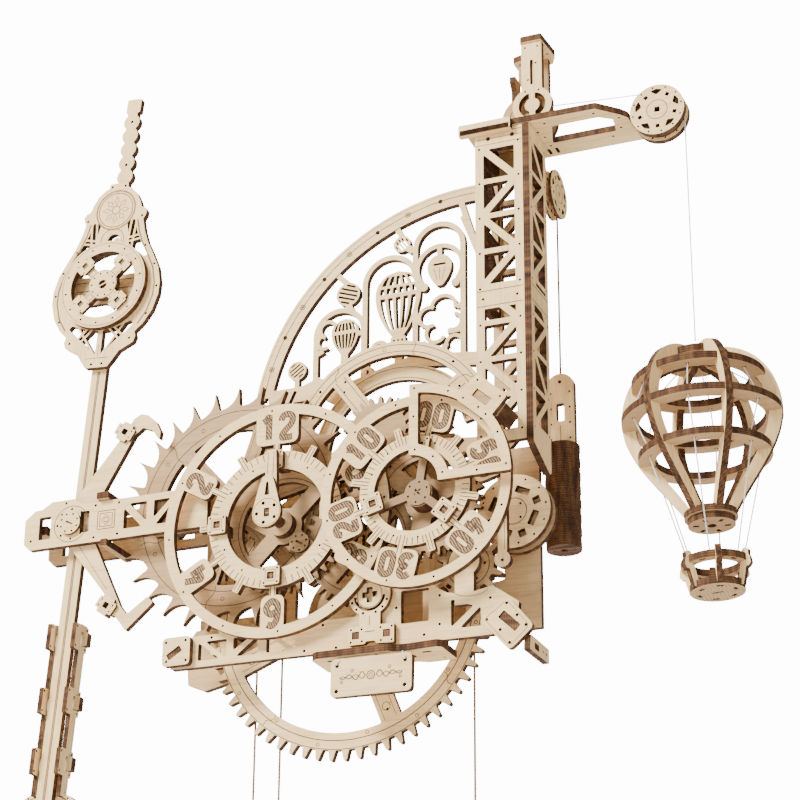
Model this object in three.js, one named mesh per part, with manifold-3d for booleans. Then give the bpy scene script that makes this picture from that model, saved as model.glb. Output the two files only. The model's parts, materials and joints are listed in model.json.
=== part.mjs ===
// A laser-cut plywood pendulum wall clock with a tower crane that hoists a small balloon.
// Millimetres. X to the right, Y into the wall, Z up. The wall is the plane y = 0, and the
// hour dial turns about the line x = 0, z = 0.
import * as THREE from 'three';
import { mergeVertices } from 'three/addons/utils/BufferGeometryUtils.js';
import Module from 'manifold-3d';

const wasm = await Module();
wasm.setup();

// ---------- driving dimensions ----------
const PLY = 3;
const FIT = 0.3;
const WALL = 55.2; // from the hour dial's face back to the wall
const SHAFT = 2.4; // radius of the turning arbors
const BORE = SHAFT + FIT;

// Layers, as the distance of a sheet's front face behind the hour dial's face.
const LAYER = {
  window: -12,
  minuteDial: -6,
  spider: -2.7,
  hourDial: 0,
  front: 6,
  hourGear: 9.4,
  pendulum: 12.6,
  idler: 12.4,
  escape: 16,
  upper: 19.6,
  ring: 23.2,
  rear: 27,
  behind: 30.4,
};
const GEAR_PLY = 2.6;

// Axes of the turning parts, seen from the front.
const HOUR = [0, 0];
const MINUTE = [64.4, 1.7];
const IDLER = [33, -11];
const ESCAPE = [-26.5, 14.8];
const UPPER = [43, 35];
const DRIVE = [23.4, -34.5];
const WINDER = [81, -27];
const REEL = [98.6, -4.6];
const PIVOT = [-100, 13.5];
const SHEAVE = [164.3, 168.7];
const WINCH = [103.5, 182];
const BALLOON = [175, 23]; // x and depth of the balloon's own axis
const COUNTER = [110, 45.5]; // x and depth of the counterweight's cord

const CORD_DEPTH = 36; // the drive cords hang behind the rear frame
const FALLS = [-23.4, -11.8];
const DRUM = { core: 20, flange: 22.3 };

const TILT = THREE.MathUtils.degToRad(4.06); // the pendulum leans to the right at rest
const JIB_TOP = 170.2;
const CORD_SIDES = 8;

// Gear trains: teeth and module.
const COARSE = 1.93;
const FINE = 1.4;
const CARRY = 1.36;
const TEETH = {
  ring: 64, pinion: 11, escapePinion: 9, carrier: 35, upper: 21, cannon: 12, idler: 36, leaf: 10, hour: 40,
  winder: 14,
};
const ESCAPE_TEETH = 30;

// ---------- outlines in the x-z plane ----------
const polar = ([x, z], radius, angle) => [x + radius * Math.cos(angle), z + radius * Math.sin(angle)];
const deg = THREE.MathUtils.degToRad;

function outline(points) {
  const shape = new THREE.Shape();
  points.forEach(([x, z], i) => (i ? shape.lineTo(x, z) : shape.moveTo(x, z)));
  shape.closePath();
  return shape;
}

// Circles and arcs have more sides the larger they are.
const sidesOf = (radius) => 8 + 4 * Math.round(radius / 8);

function arcPoints(centre, radius, from, to) {
  const steps = Math.max(1, Math.round((Math.abs(to - from) * sidesOf(radius)) / (2 * Math.PI)));
  return Array.from({ length: steps + 1 }, (_, k) => polar(centre, radius, from + ((to - from) * k) / steps));
}

function disc(centre, radius) {
  const sides = sidesOf(radius);
  return outline(Array.from({ length: sides }, (_, k) => polar(centre, radius, (2 * Math.PI * k) / sides)));
}

function withHoles(shape, ...holes) {
  shape.holes.push(...holes);
  return shape;
}

const ring = (centre, outer, inner) => withHoles(disc(centre, outer), disc(centre, inner));

const rect = (x0, z0, x1, z1) => outline([[x0, z0], [x1, z0], [x1, z1], [x0, z1]]);

function rotated([cx, cz], width, height, angle) {
  const corners = [[-1, -1], [1, -1], [1, 1], [-1, 1]];
  const [c, s] = [Math.cos(angle), Math.sin(angle)];
  return outline(corners.map(([i, j]) => {
    const [u, v] = [(i * width) / 2, (j * height) / 2];
    return [cx + u * c - v * s, cz + u * s + v * c];
  }));
}

function bar([x0, z0], [x1, z1], width) {
  const centre = [(x0 + x1) / 2, (z0 + z1) / 2];
  return rotated(centre, Math.hypot(x1 - x0, z1 - z0), width, Math.atan2(z1 - z0, x1 - x0));
}

// Part of a ring between two angles.
const sector = (centre, outer, inner, from, to) =>
  outline([...arcPoints(centre, outer, from, to), ...arcPoints(centre, inner, to, from)]);

// Windows between spokes of one width, in a wheel's web.
function spokeWindows(centre, outer, inner, count, first, width) {
  const pitch = (2 * Math.PI) / count;
  return Array.from({ length: count }, (_, k) => {
    const [a, b] = [first + k * pitch, first + (k + 1) * pitch];
    const [outerGap, innerGap] = [width / 2 / outer, width / 2 / inner];
    const far = arcPoints(centre, outer, a + outerGap, b - outerGap);
    return outline([...far, ...arcPoints(centre, inner, b - innerGap, a + innerGap)]);
  });
}

// A straight-flanked gear with one tooth centred on the angle `phase`; fine ones have pointed teeth.
function gear(centre, teeth, module, phase) {
  const pitch = (2 * Math.PI) / teeth;
  const tip = (module * (teeth + (module < COARSE ? 0.6 : 2))) / 2;
  const root = (module * (teeth - 2.5)) / 2;
  const half = { tip: 0.11 * pitch, root: 0.26 * pitch };
  const points = [];
  for (let k = 0; k < teeth; k += 1) {
    const a = phase + k * pitch;
    if (module < COARSE) {
      points.push(polar(centre, root, a - half.root), polar(centre, tip, a));
      points.push(polar(centre, root, a + half.root));
    } else {
      points.push(polar(centre, root, a - half.root), polar(centre, tip, a - half.tip));
      points.push(polar(centre, tip, a + half.tip), polar(centre, root, a + half.root));
    }
  }
  return outline(points);
}

// The phase that puts a gap of the driven gear opposite a tooth of its driver.
function meshPhase(driver, driverTeeth, driverPhase, driven, drivenTeeth) {
  const line = Math.atan2(driven[1] - driver[1], driven[0] - driver[0]);
  const driverPitch = (2 * Math.PI) / driverTeeth;
  const drivenPitch = (2 * Math.PI) / drivenTeeth;
  const offset = (line - driverPhase) / driverPitch;
  const ahead = offset - Math.round(offset);
  return line + Math.PI + drivenPitch / 2 + ahead * drivenPitch;
}

// ---------- solids ----------
function solid(geometry) {
  geometry.deleteAttribute('normal');
  geometry.deleteAttribute('uv');
  const merged = mergeVertices(geometry, 1e-5);
  const vertProperties = Float32Array.from(merged.attributes.position.array);
  const triVerts = Uint32Array.from(merged.index.array);
  return new wasm.Manifold(new wasm.Mesh({ numProp: 3, vertProperties, triVerts }));
}

const union = (...solids) => solids.reduce((a, b) => a.add(b));

const CURVE_STEPS = 5; // pieces of each bezier in an outline

const extrude = (shape, depth) => solid(new THREE.ExtrudeGeometry(shape, { depth, bevelEnabled: false }));

// A flat sheet lying in z from 0 to `depth`, with its holes cut by boolean.
function prism(shape, depth) {
  const body = extrude(new THREE.Shape(shape.getPoints(CURVE_STEPS)), depth);
  return shape.holes.reduce((rest, hole) => {
    const cutter = extrude(new THREE.Shape(hole.getPoints(CURVE_STEPS)), depth + 2);
    return rest.subtract(cutter.translate([0, 0, -1]));
  }, body);
}

// A sheet that faces the front; `layer` is its front face's depth.
const sheet = (shape, layer, thickness = PLY) =>
  prism(shape, thickness).rotate([90, 0, 0]).translate([0, layer + thickness - WALL, 0]);

const sheets = (shapes, layer, thickness) =>
  union(...shapes.map((shape) => sheet(shape, layer, thickness)));

// A level sheet: its outline is in x and depth.
const level = (shape, bottom, thickness = PLY) =>
  prism(shape, thickness).translate([0, -WALL, bottom]);

// A sheet that faces sideways: its outline is in depth and height.
const side = (shape, left, thickness = PLY) =>
  prism(shape, thickness).rotate([90, 0, 90]).translate([left, -WALL, 0]);

// A round bar along the depth.
const arbor = (centre, radius, from, to) => sheet(disc(centre, radius), from, to - from);

function block(x0, x1, d0, d1, z0, z1) {
  const geometry = new THREE.BoxGeometry(x1 - x0, d1 - d0, z1 - z0);
  geometry.translate((x0 + x1) / 2, (d0 + d1) / 2 - WALL, (z0 + z1) / 2);
  return solid(geometry);
}

// A cord along points given as x, depth, z.
function cord(points, radius, steps) {
  const section = new THREE.Shape();
  for (let k = 0; k < CORD_SIDES; k += 1) {
    const [x, y] = polar([0, 0], radius, (2 * Math.PI * k) / CORD_SIDES);
    if (k) section.lineTo(x, y);
    else section.moveTo(x, y);
  }
  section.closePath();
  const route = points.map(([x, d, z]) => new THREE.Vector3(x, d - WALL, z));
  const extrudePath = route.length === 2 ? new THREE.LineCurve3(...route) : new THREE.CatmullRomCurve3(route);
  return solid(new THREE.ExtrudeGeometry(section, { steps, extrudePath, curveSegments: 1 }));
}

// ---------- materials ----------
const TONE = {
  face: { color: 0xead9bd, roughness: 0.74 },
  shade: { color: 0xcdb48d, roughness: 0.78 },
  edge: { color: 0x6f4a2c, roughness: 0.85 },
  cord: { color: 0xd9d3c8, roughness: 0.9 },
  twine: { color: 0x9a7a5c, roughness: 0.9 },
};

const clock = new THREE.Group();

function part(name, tone, manifold) {
  const mesh = manifold.getMesh();
  const geometry = new THREE.BufferGeometry();
  geometry.setAttribute('position', new THREE.BufferAttribute(Float32Array.from(mesh.vertProperties), 3));
  geometry.setIndex(new THREE.BufferAttribute(Uint32Array.from(mesh.triVerts), 1));
  const material = new THREE.MeshStandardMaterial({ ...TONE[tone], metalness: 0 });
  const piece = new THREE.Mesh(geometry, material);
  piece.name = name;
  clock.add(piece);
}

// ---------- lattice panels ----------
// A ladder of rungs and zig-zag diagonals between two stiles, as one closed outline with holes.
function lattice([x0, x1], [z0, z1], stile, rungs, diagonal) {
  const shape = rect(x0, z0, x1, z1);
  const [left, right] = [x0 + stile, x1 - stile];
  for (let k = 0; k + 1 < rungs.length; k += 1) {
    const [low, high] = [rungs[k] + diagonal / 2, rungs[k + 1] - diagonal / 2];
    const rising = k % 2 === 0;
    const slack = diagonal * 0.9;
    const [a, b] = rising ? [left, right] : [right, left];
    shape.holes.push(outline([[a, low + slack], [a, high], [b - Math.sign(b - a) * slack, high]]));
    shape.holes.push(outline([[a + Math.sign(b - a) * slack, low], [b, high - slack], [b, low]]));
  }
  return shape;
}

// ---------- fixed frame ----------
const TOWER = { left: 86.8, right: 108.2, top: 166.8, foot: 22 };
const TOWER_PITCH = 16.6;
const towerRungs = (from, count) => Array.from({ length: count }, (_, k) => from + k * TOWER_PITCH);
const LEFT_BEAM = { tip: -123, bottom: 3.8, top: 21.9 };
const LOWER_BEAM = { left: -51, right: 104, bottom: -57.8, top: -44.6, shoulder: -33.5 };

// The side view of the long beam that carries the pendulum: a blunt tip, two windows, two triangles.
function leftBeam(rightEnd) {
  const { tip, bottom, top } = LEFT_BEAM;
  const shape = outline([
    [tip + 3, bottom], [rightEnd, bottom], [rightEnd, top], [tip + 28, top], [tip + 24, top + 3],
    [tip + 13, top + 3], [tip + 8, top], [tip + 5, top], [tip, top - 4], [tip, bottom + 3],
  ]);
  shape.holes.push(rect(tip + 7, bottom + 4, tip + 13, top - 3.6));
  shape.holes.push(rect(tip + 28, bottom + 4.6, tip + 32, top - 3.6));
  shape.holes.push(outline([[tip + 49, bottom + 4], [tip + 57, bottom + 4], [tip + 49, top - 5]]));
  shape.holes.push(outline([[tip + 52, top - 3], [tip + 60, top - 3], [tip + 60, bottom + 6]]));
  shape.holes.push(outline([[tip + 64, bottom + 4], [tip + 72, bottom + 4], [tip + 72, top - 5]]));
  shape.holes.push(outline([[tip + 63, bottom + 8], [tip + 63, top - 3], [tip + 70, top - 3]]));
  return shape;
}

const frontLeft = sheet(leftBeam(-34.5), LAYER.front);
part('front_beam_left', 'face', frontLeft.subtract(arbor(PIVOT, BORE, 5, 10)));

// The lower beam: low at the left, with a tall right half that carries the idler and the winder.
const lowerBeam = () => outline([
  [LOWER_BEAM.left + 3, LOWER_BEAM.bottom], [LOWER_BEAM.right - 2, LOWER_BEAM.bottom - 1],
  [LOWER_BEAM.right, LOWER_BEAM.top - 2], [95, LOWER_BEAM.shoulder - 4], [88, LOWER_BEAM.shoulder - 6],
  [75, LOWER_BEAM.shoulder - 6], [68, LOWER_BEAM.shoulder], [48, LOWER_BEAM.shoulder],
  [30, LOWER_BEAM.top], [LOWER_BEAM.left + 3, LOWER_BEAM.top], [LOWER_BEAM.left, LOWER_BEAM.top - 4],
  [LOWER_BEAM.left, LOWER_BEAM.bottom + 4],
]);
const lowerWindows = [
  [[-36, -55.2], [-26, -55.2], [-36, -47.4]], [[-33, -47.2], [-23, -47.2], [-23, -55]],
  [[-19, -55.2], [-9, -55.2], [-9, -47.4]], [[-20, -52.5], [-20, -47.2], [-12, -47.2]],
  [[-5, -55.2], [5, -55.2], [-5, -47.4]], [[-2, -47.2], [8, -47.2], [8, -55]],
  [[54, -50], [66, -50], [66, -36.5], [54, -36.5]],
  [[75.4, -54], [75.4, -42.5], [86, -42.5]], [[79, -54.4], [88, -54.4], [88, -45]],
].map(outline);
const frontLower = union(
  sheet(withHoles(lowerBeam(), ...lowerWindows), LAYER.front),
  sheet(bar([41, -48], IDLER, 6.4), LAYER.front),
  sheet(disc(IDLER, 3.9), LAYER.front),
  sheet(disc(WINDER, 6.5), LAYER.front),
  sheet(rect(77, -45, 85, -28), LAYER.front),
  sheet(withHoles(rect(-51, -57, -38.4, -44.8), rotated([-45.5, -51.5], 7, 2.6, deg(32))), LAYER.front - PLY,
    PLY + 1),
);
part('front_beam_lower', 'face', frontLower
  .subtract(arbor(IDLER, 2.1, 5, 10)).subtract(arbor(WINDER, BORE, 5, 10)));

// The rear frame: the same beams, the tower's back and the leg that joins them.
const REAR_RISE = 10; // the rear beam lies higher than the front one
const rearFrame = union(
  sheet(leftBeam(-18), LAYER.rear),
  sheet(withHoles(lowerBeam(), ...lowerWindows.slice(0, 6)), LAYER.rear).translate([0, 0, REAR_RISE]),
  sheet(disc(ESCAPE, 8), LAYER.rear),
  sheet(bar([-40, -48], [-40, 8], 9), LAYER.rear),
  sheet(bar([30, -46], UPPER, 9), LAYER.rear),
  sheet(disc(DRIVE, 9), LAYER.rear),
  sheet(disc(UPPER, 8), LAYER.rear),
  sheet(bar(UPPER, [88, 30], 8), LAYER.rear),
  sheet(lattice([TOWER.left, TOWER.right], [TOWER.foot, TOWER.top], 4, towerRungs(26, 9), 2.6), LAYER.rear),
  sheet(withHoles(rect(90.5, -51, 106, 25), rect(94.5, -47, 100, -37)), LAYER.rear),
  sheet(outline([[-52, -45], [-51, -58], [-43, -61.5], [-29, -58.5], [-29, -45]]), LAYER.rear),
  side(lattice([LAYER.front + PLY + FIT, LAYER.rear + 0.5], [84.5, TOWER.top], 3, towerRungs(88, 5), 2.4),
    TOWER.left + 0.4),
);
const rearHoles = [ESCAPE, UPPER, DRIVE].map((centre) => arbor(centre, BORE, 26, 31));
part('rear_frame', 'shade', rearHoles.reduce((a, b) => a.subtract(b), rearFrame)
  .subtract(arbor(PIVOT, BORE, 26, 31)));

// The bridge behind the hour wheel holds the fixed pointer's shaft and the escape arbor's front end.
const bridge = union(
  sheet(outline([[-62, 4.5], [-62, 21], [-36, 21], [-22, 20.5], [-18, 12], [3, 5], [5, -2], [0, -5], [-8, -3],
    [-24, 7], [-36, 4.5]]), LAYER.idler, GEAR_PLY),
  sheet(rect(-61, 6, -44, 20), LAYER.front + PLY + FIT, LAYER.idler - LAYER.front - PLY),
);
part('hour_bridge', 'shade', bridge.subtract(arbor(ESCAPE, BORE, 12, 16)));

// An upright on the shelf holds the minute arbor from behind.
const SHELF_BOTTOM = LOWER_BEAM.bottom - PLY - 1;
part('beam_shelf', 'shade', union(
  sheet(withHoles(disc(MINUTE, 7), disc(MINUTE, BORE)), LAYER.escape),
  sheet(rect(59.4, SHELF_BOTTOM + 1, 69.4, -4.5), LAYER.escape),
  level(withHoles(rect(16, 2, 72, 22.6), rect(28, 11, 40, 14), rect(50, 11, 58, 14)), SHELF_BOTTOM),
));

const KEYHOLE = [41.5, -37];
const BRACKET = { layer: LAYER.front - FIT - 2.4, ply: 2.4 }; // thin enough to clear the hour dial
part('keyhole_bracket', 'face', union(
  sheet(withHoles(disc(KEYHOLE, 7.6), outline([
    [38.2, -38.4], [40.1, -38.4], [40.1, -40.3], [42.9, -40.3], [42.9, -38.4], [44.8, -38.4],
    [44.8, -35.6], [42.9, -35.6], [42.9, -33.7], [40.1, -33.7], [40.1, -35.6], [38.2, -35.6]])),
  BRACKET.layer, BRACKET.ply),
  sheet(outline([
    [33, -38], [37.5, -45], [37.5, -48.5], [32.6, -50.5], [32.6, -57.4], [53, -58.4], [53, -50.6],
    [46.5, -49.5], [46.5, -45], [50, -38], [46, -43], [37, -43]]), BRACKET.layer, BRACKET.ply),
).subtract(sheet(rect(34.2, -55, 37.4, -51.6), 0, 8)).subtract(sheet(rect(48, -56, 51.2, -52.6), 0, 8)));

// Cross-pieces between the front and rear beams.
part('spacer_tip', 'edge', level(outline([[-127, 14], [-119, 14], [-119, 9.3], [-114, 9.3], [-114, 26.7],
  [-119, 26.7], [-119, 22], [-127, 22]]), 11.6, 4));
part('spacer_upper', 'edge', block(-86.7, -81.2, 3.5, 26.7, LEFT_BEAM.top + FIT, LEFT_BEAM.top + FIT + PLY));
part('spacer_lower', 'edge',
  block(-83.7, -80.8, 3.5, 26.7, LEFT_BEAM.bottom - FIT - PLY, LEFT_BEAM.bottom - FIT));
part('pivot_pin', 'face', union(arbor(PIVOT, 5.2, LAYER.front - 1.8, LAYER.front - FIT),
  arbor(PIVOT, SHAFT, LAYER.front - 1, 31)));

// End plates that lock the lower beams' cross-pieces.
const END_RIGHT = [101, -56.5];
part('end_plate_right', 'face', union(
  sheet(withHoles(rotated(END_RIGHT, 21, 19, deg(-52)), rotated([101.3, -55], 9.4, 3.4, deg(-44))),
    LAYER.front - PLY - FIT),
  block(106.4, 109.2, 4, 26.7, -67.5, -61),
));

// ---------- arch ----------
const ARCH = { centre: [78.3, 50.5], outer: 103.4, inner: 95.9 };
const CHORD = { outer: 38.5, inner: 31.5 };
const gothic = [
  { x: [4.4, 27], spring: 93, foot: 66 },
  { x: [27.4, 51], spring: 114, foot: 72 },
  { x: [51, 73], spring: 127, foot: 72 },
];
const RIB = 2.4;
function gothicArch({ x, spring, foot }) {
  const radius = (x[1] - x[0]) / 2 + RIB / 2;
  const centre = [(x[0] + x[1]) / 2, spring];
  return [
    sector(centre, radius, radius - RIB, 0, Math.PI),
    rect(x[0] - RIB / 2, foot, x[0] + RIB / 2, spring + 0.1),
    rect(x[1] - RIB / 2, foot, x[1] + RIB / 2, spring + 0.1),
  ];
}
// Flat balloon ornament: a pear outline with slots, standing on a basket.
function balloonOrnament([cx, cz], radius, tail) {
  const dome = arcPoints([cx, cz], radius, deg(-25), deg(205));
  const shape = outline([...dome, [cx - 1.6, cz - tail], [cx + 1.6, cz - tail]]);
  [-0.5, 0, 0.5].forEach((k) => {
    shape.holes.push(outline([
      [cx + k * radius - 0.9, cz - radius * 0.2], [cx + k * radius + 0.9, cz - radius * 0.2],
      [cx + k * radius * 0.35 + 0.4, cz - tail + 3], [cx + k * radius * 0.35 - 0.4, cz - tail + 3],
    ]));
  });
  return shape;
}
const arch = union(
  sheet(sector(ARCH.centre, ARCH.outer, ARCH.inner, deg(86), deg(195)), LAYER.rear),
  sheet(sector(UPPER, CHORD.outer, CHORD.inner, deg(14), deg(176)), LAYER.rear),
  sheet(outline([[-21, 64], [-21, 28], [-14, 25], [-14, 64]]), LAYER.rear),
  sheet(outline([[-18, 71], [-16, 64], [8, 64], [14, 60], [20, 66], [6, 74], [-2, 71]]), LAYER.rear),
  sheets(gothic.flatMap(gothicArch), LAYER.rear),
  sheet(bar([16, 66], [50, 75], 4.5), LAYER.rear),
  sheet(bar([50, 75], [86.5, 70], 6), LAYER.rear),
  sheet(bar([73, 140], [86.5, 104], 2.6), LAYER.rear),
  sheet(bar([72, 148], [79, 124], 2.6), LAYER.rear),
  sheet(disc([-4.3, 78.8], 4.4), LAYER.rear),
  sheet(disc([19.4, 111.6], 5.6), LAYER.rear),
  sheet(disc([44.7, 131.5], 4), LAYER.rear),
  sheet(bar([-4.3, 74.5], [-4.3, 70], 2), LAYER.rear),
  sheet(bar([19.4, 117], [14.5, 121.5], 2.4), LAYER.rear),
  sheet(bar([19.4, 106], [21, 103], 3), LAYER.rear),
  sheet(bar([44.7, 134.5], [42.5, 139], 2.4), LAYER.rear),
  sheet(bar([47.6, 129], [50, 127], 3), LAYER.rear),
  sheet(balloonOrnament([43, 108], 10.6, 22), LAYER.rear),
  sheet(bar([43.6, 87], [43.2, 72], 3.4), LAYER.rear),
  sheet(bar([52.2, 109], [51.4, 109], 2.4), LAYER.rear),
  sheet(balloonOrnament([18.2, 93.5], 6.2, 11.5), LAYER.rear),
  sheet(bar([18, 83], [18, 72], 3.4), LAYER.rear),
  sheet(bar([24.2, 92], [26.6, 92], 2.2), LAYER.rear),
  sheet(balloonOrnament([62.3, 117.6], 5.6, 10), LAYER.rear),
  sheet(ring([62.3, 117], 11.4, 9.4), LAYER.rear),
  sheet(bar([62.3, 122.5], [62.3, 127.6], 2.2), LAYER.rear),
  sheet(withHoles(rotated([62, 84.5], 22, 12, deg(8)), rotated([62, 88], 14, 4, deg(8))), LAYER.rear),
);
const archTrim = union(
  block(TOWER.left - FIT, 130, 20, 40, -70, 200),
  block(-40, 60, 20, 40, -10, 24.6),
);
part('arch_frame', 'face', arch.subtract(archTrim)
  .subtract(sheet(rotated([65.9, 33], 50, 9, Math.atan2(-5, 45)), 25, 8)));

// ---------- tower ----------
const JOINT_Z = [82.3, 92];
part('tower_front', 'face', union(
  sheet(lattice([TOWER.left, TOWER.right], [TOWER.foot, TOWER.top], 3.8, towerRungs(26, 9), 2.4),
    LAYER.front),
  sheet(rect(TOWER.left, 158.6, TOWER.right, TOWER.top), LAYER.front),
  sheet(rect(TOWER.left, JOINT_Z[0], TOWER.right, JOINT_Z[1]), LAYER.front),
));
const TOWER_SIDE = { front: 5.2, back: 26.7 };
const sideRungs = Array.from({ length: 9 }, (_, k) => 28 + k * TOWER_PITCH);
part('tower_right', 'face', union(
  side(lattice([TOWER_SIDE.front, TOWER_SIDE.back], [TOWER.foot, TOWER.top], 3.4, sideRungs, 2.2),
    TOWER.right + FIT),
  side(outline([[TOWER_SIDE.front, 23], [TOWER_SIDE.front, 20], [TOWER_SIDE.back - 2, 12.5],
    [TOWER_SIDE.back, 14], [TOWER_SIDE.back, 23]]), TOWER.right + FIT),
  side(rect(TOWER_SIDE.front, JOINT_Z[0], TOWER_SIDE.back, JOINT_Z[1]), TOWER.right + FIT),
));
// ---------- jib ----------
const jibOutline = withHoles(
  outline([[82.3, 5.5], [104, 5.5], [104, 6], [140.8, 6], [149.5, 15], [151.6, 18.5], [151.6, 28.8],
    [166.5, 28.8], [166.5, 38.5], [78, 38.5], [78, 30], [81.8, 24]]),
  outline([[115, 27], [119.2, 13.4], [139.8, 13.4], [145.2, 17.4], [143.6, 27]]),
);
const SHEAVE_BACK = 28.8;
const WHEEL_Y = 41.7; // depth and height of the counterweight's pulley
const WHEEL_Z = 150;
part('jib_plate', 'face', union(
  level(jibOutline, JIB_TOP - PLY),
  level(rect(80.5, 2.6, 104, 6 - FIT), JIB_TOP - 2 * PLY + 0.4, 5.2),
  arbor(SHEAVE, 1.4, SHEAVE_BACK - 4, SHEAVE_BACK + 1),
  side(outline([[31, 167.6], [31, 162], [40, 146], [44, 146], [45, 150], [38.2, 167.6]]), COUNTER[0] - 5.7),
  side(disc([WHEEL_Y, WHEEL_Z], 1.2), COUNTER[0] - 3, 5.4),
));

// ---------- winch on the tower top ----------
const WINCH_FACE = 22;
part('winch_plate', 'face', union(
  sheet(withHoles(rect(102.8, 189, 112.2, 216.7), rect(106.8, 195.5, 108.2, 208)), WINCH_FACE),
  sheet(ring([107.5, 185.2], 9, 5.6), WINCH_FACE),
  sheet(bar([107.5, 178], [107.5, 193], 2.4), WINCH_FACE),
  sheet(disc([107.5, 185.2], 3.2), WINCH_FACE),
  sheet(rect(101, JIB_TOP + FIT, 114, 178.2), WINCH_FACE),
));
part('winch_cap', 'edge', union(
  level(outline([
    [102.4, 21], [112.4, 21], [113.4, 37.4], [110.6, 43], [94, 43], [94, 36], [102.4, 34]]), 217),
  sheet(rect(96, JIB_TOP + FIT, 110, 218), 37.6),
  arbor(WINCH, 1.4, 25.3, 38),
));

// ---------- window over the minute dial ----------
const WINDOW = { outer: 43.3, band: 3.8, inner: 12.4, throat: 4.6 };
const quarter = sector(MINUTE, WINDOW.outer, WINDOW.inner, 0, Math.PI / 2);
const openOuter = WINDOW.outer - WINDOW.band;
const openInner = WINDOW.inner + WINDOW.throat;
const opening = outline([
  ...arcPoints(MINUTE, openOuter, Math.asin(WINDOW.band / openOuter), Math.acos(WINDOW.band / openOuter)),
  ...arcPoints(MINUTE, openInner, Math.acos(WINDOW.band / openInner), Math.asin(WINDOW.band / openInner)),
]);
const TAB = [97, 36.4];
part('window_frame', 'face', union(
  sheet(withHoles(quarter, opening), LAYER.window),
  sheet(rotated(TAB, 19, 14, deg(-45)), LAYER.window),
  sheet(rotated([101.6, 30.2], 5, 7, deg(-38)), LAYER.window + 1, LAYER.front - LAYER.window - 1 - FIT),
).subtract(sheet(rotated([95.4, 36], 8, 3.6, deg(-38)), -14, 8)));

// ---------- fixed hour pointer ----------
part('hour_pointer', 'face', union(
  sheet(withHoles(outline([[-5.4, 1], [-1.6, 28.5], [2.6, 28.5], [5.4, 1]]),
    outline([[-1.5, 8], [1.5, 8], [0.4, 19], [-0.4, 19]])), LAYER.minuteDial),
  sheet(disc(HOUR, 5.8), LAYER.minuteDial),
  arbor(HOUR, SHAFT, LAYER.minuteDial + 1, LAYER.idler - FIT),
));

// ---------- dials ----------
const CAP = 8;
const CAP_PLY = 2.6;
const turns = (first, count) =>
  Array.from({ length: count }, (_, k) => deg(first) + (k * 2 * Math.PI) / count);
const HOUR_CAPS = turns(0, 4);
const MINUTE_CAPS = [195, 320, 80].map(deg);

// A ring with numeral plaques, stems and an inner tick ring with tabs, and square caps on the tick ring.
function dialSheet(centre, sizes, numerals, tabs, caps, layer) {
  const { outer, rim, tickOuter, tickInner, plaque, plaqueAt } = sizes;
  const solids = [
    sheet(ring(centre, outer, rim), layer),
    sheet(ring(centre, tickOuter, tickInner), layer),
  ];
  numerals.forEach((angle) => {
    solids.push(sheet(rotated(polar(centre, plaqueAt, angle), plaque[1], plaque[0], angle), layer));
    solids.push(sheet(bar(polar(centre, tickOuter - 1, angle), polar(centre, rim + 1, angle), 2.6), layer));
  });
  tabs.forEach((angle) => {
    const tab = bar(polar(centre, tickOuter - 1, angle), polar(centre, tickOuter + 4, angle), 3);
    solids.push(sheet(tab, layer));
  });
  caps.forEach((angle) => {
    const at = polar(centre, (tickOuter + tickInner) / 2, angle);
    const cap = withHoles(rotated(at, CAP, CAP, angle), rotated(at, 3, 3, angle));
    solids.push(sheet(cap, layer - CAP_PLY, CAP_PLY + 0.2));
  });
  return union(...solids);
}

const HOUR_SIZES = { outer: 51, rim: 46.6, tickOuter: 30, tickInner: 22, plaque: [17, 11.5], plaqueAt: 41 };
part('hour_dial', 'face', dialSheet(HOUR, HOUR_SIZES, turns(90, 6), turns(60, 6), HOUR_CAPS,
  LAYER.hourDial));

const MINUTE_SIZES = {
  outer: 41, rim: 36.8, tickOuter: 23.8, tickInner: 17.6, plaque: [15, 10.5], plaqueAt: 32,
};
part('minute_dial', 'face', dialSheet(MINUTE, MINUTE_SIZES, turns(80, 6), turns(50, 6),
  MINUTE_CAPS, LAYER.minuteDial));

// ---------- wheels ----------
// Phases follow the drive wheel outward, so that every pair is in mesh at rest.
const RING_PHASE = deg(-90.2);
const escapePhase = meshPhase(DRIVE, TEETH.ring, RING_PHASE, ESCAPE, TEETH.escapePinion);
const upperPhase = meshPhase(DRIVE, TEETH.ring, RING_PHASE, UPPER, TEETH.pinion);
const UPPER_GEAR_PHASE = 0;
const carrierPhase = meshPhase(UPPER, TEETH.upper, UPPER_GEAR_PHASE, MINUTE, TEETH.carrier);
const CANNON_PHASE = 0;
const idlerPhase = meshPhase(MINUTE, TEETH.cannon, CANNON_PHASE, IDLER, TEETH.idler);
const LEAF_PHASE = 0;
const hourPhase = meshPhase(IDLER, TEETH.leaf, LEAF_PHASE, HOUR, TEETH.hour);

// Escape wheel: saw teeth, steep on the clockwise side.
function escapeOutline() {
  const pitch = (2 * Math.PI) / ESCAPE_TEETH;
  const profile = [[0, 55], [0.25, 50.2], [0.58, 47.4], [0.92, 46.4]];
  const points = [];
  for (let k = 0; k < ESCAPE_TEETH; k += 1) {
    profile.forEach(([turn, radius]) => {
      points.push(polar(ESCAPE, radius, Math.PI / 2 + (k + turn) * pitch));
    });
  }
  return outline(points);
}
part('escape_wheel', 'face', union(
  sheet(withHoles(escapeOutline(), ...spokeWindows(ESCAPE, 35, 11, 6, deg(12), 7)), LAYER.escape),
  arbor(ESCAPE, SHAFT, LAYER.idler + 0.2, 30.2),
  arbor(ESCAPE, 6, 18, LAYER.ring + 1),
  sheet(gear(ESCAPE, TEETH.escapePinion, COARSE, escapePhase), LAYER.ring),
));

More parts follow.
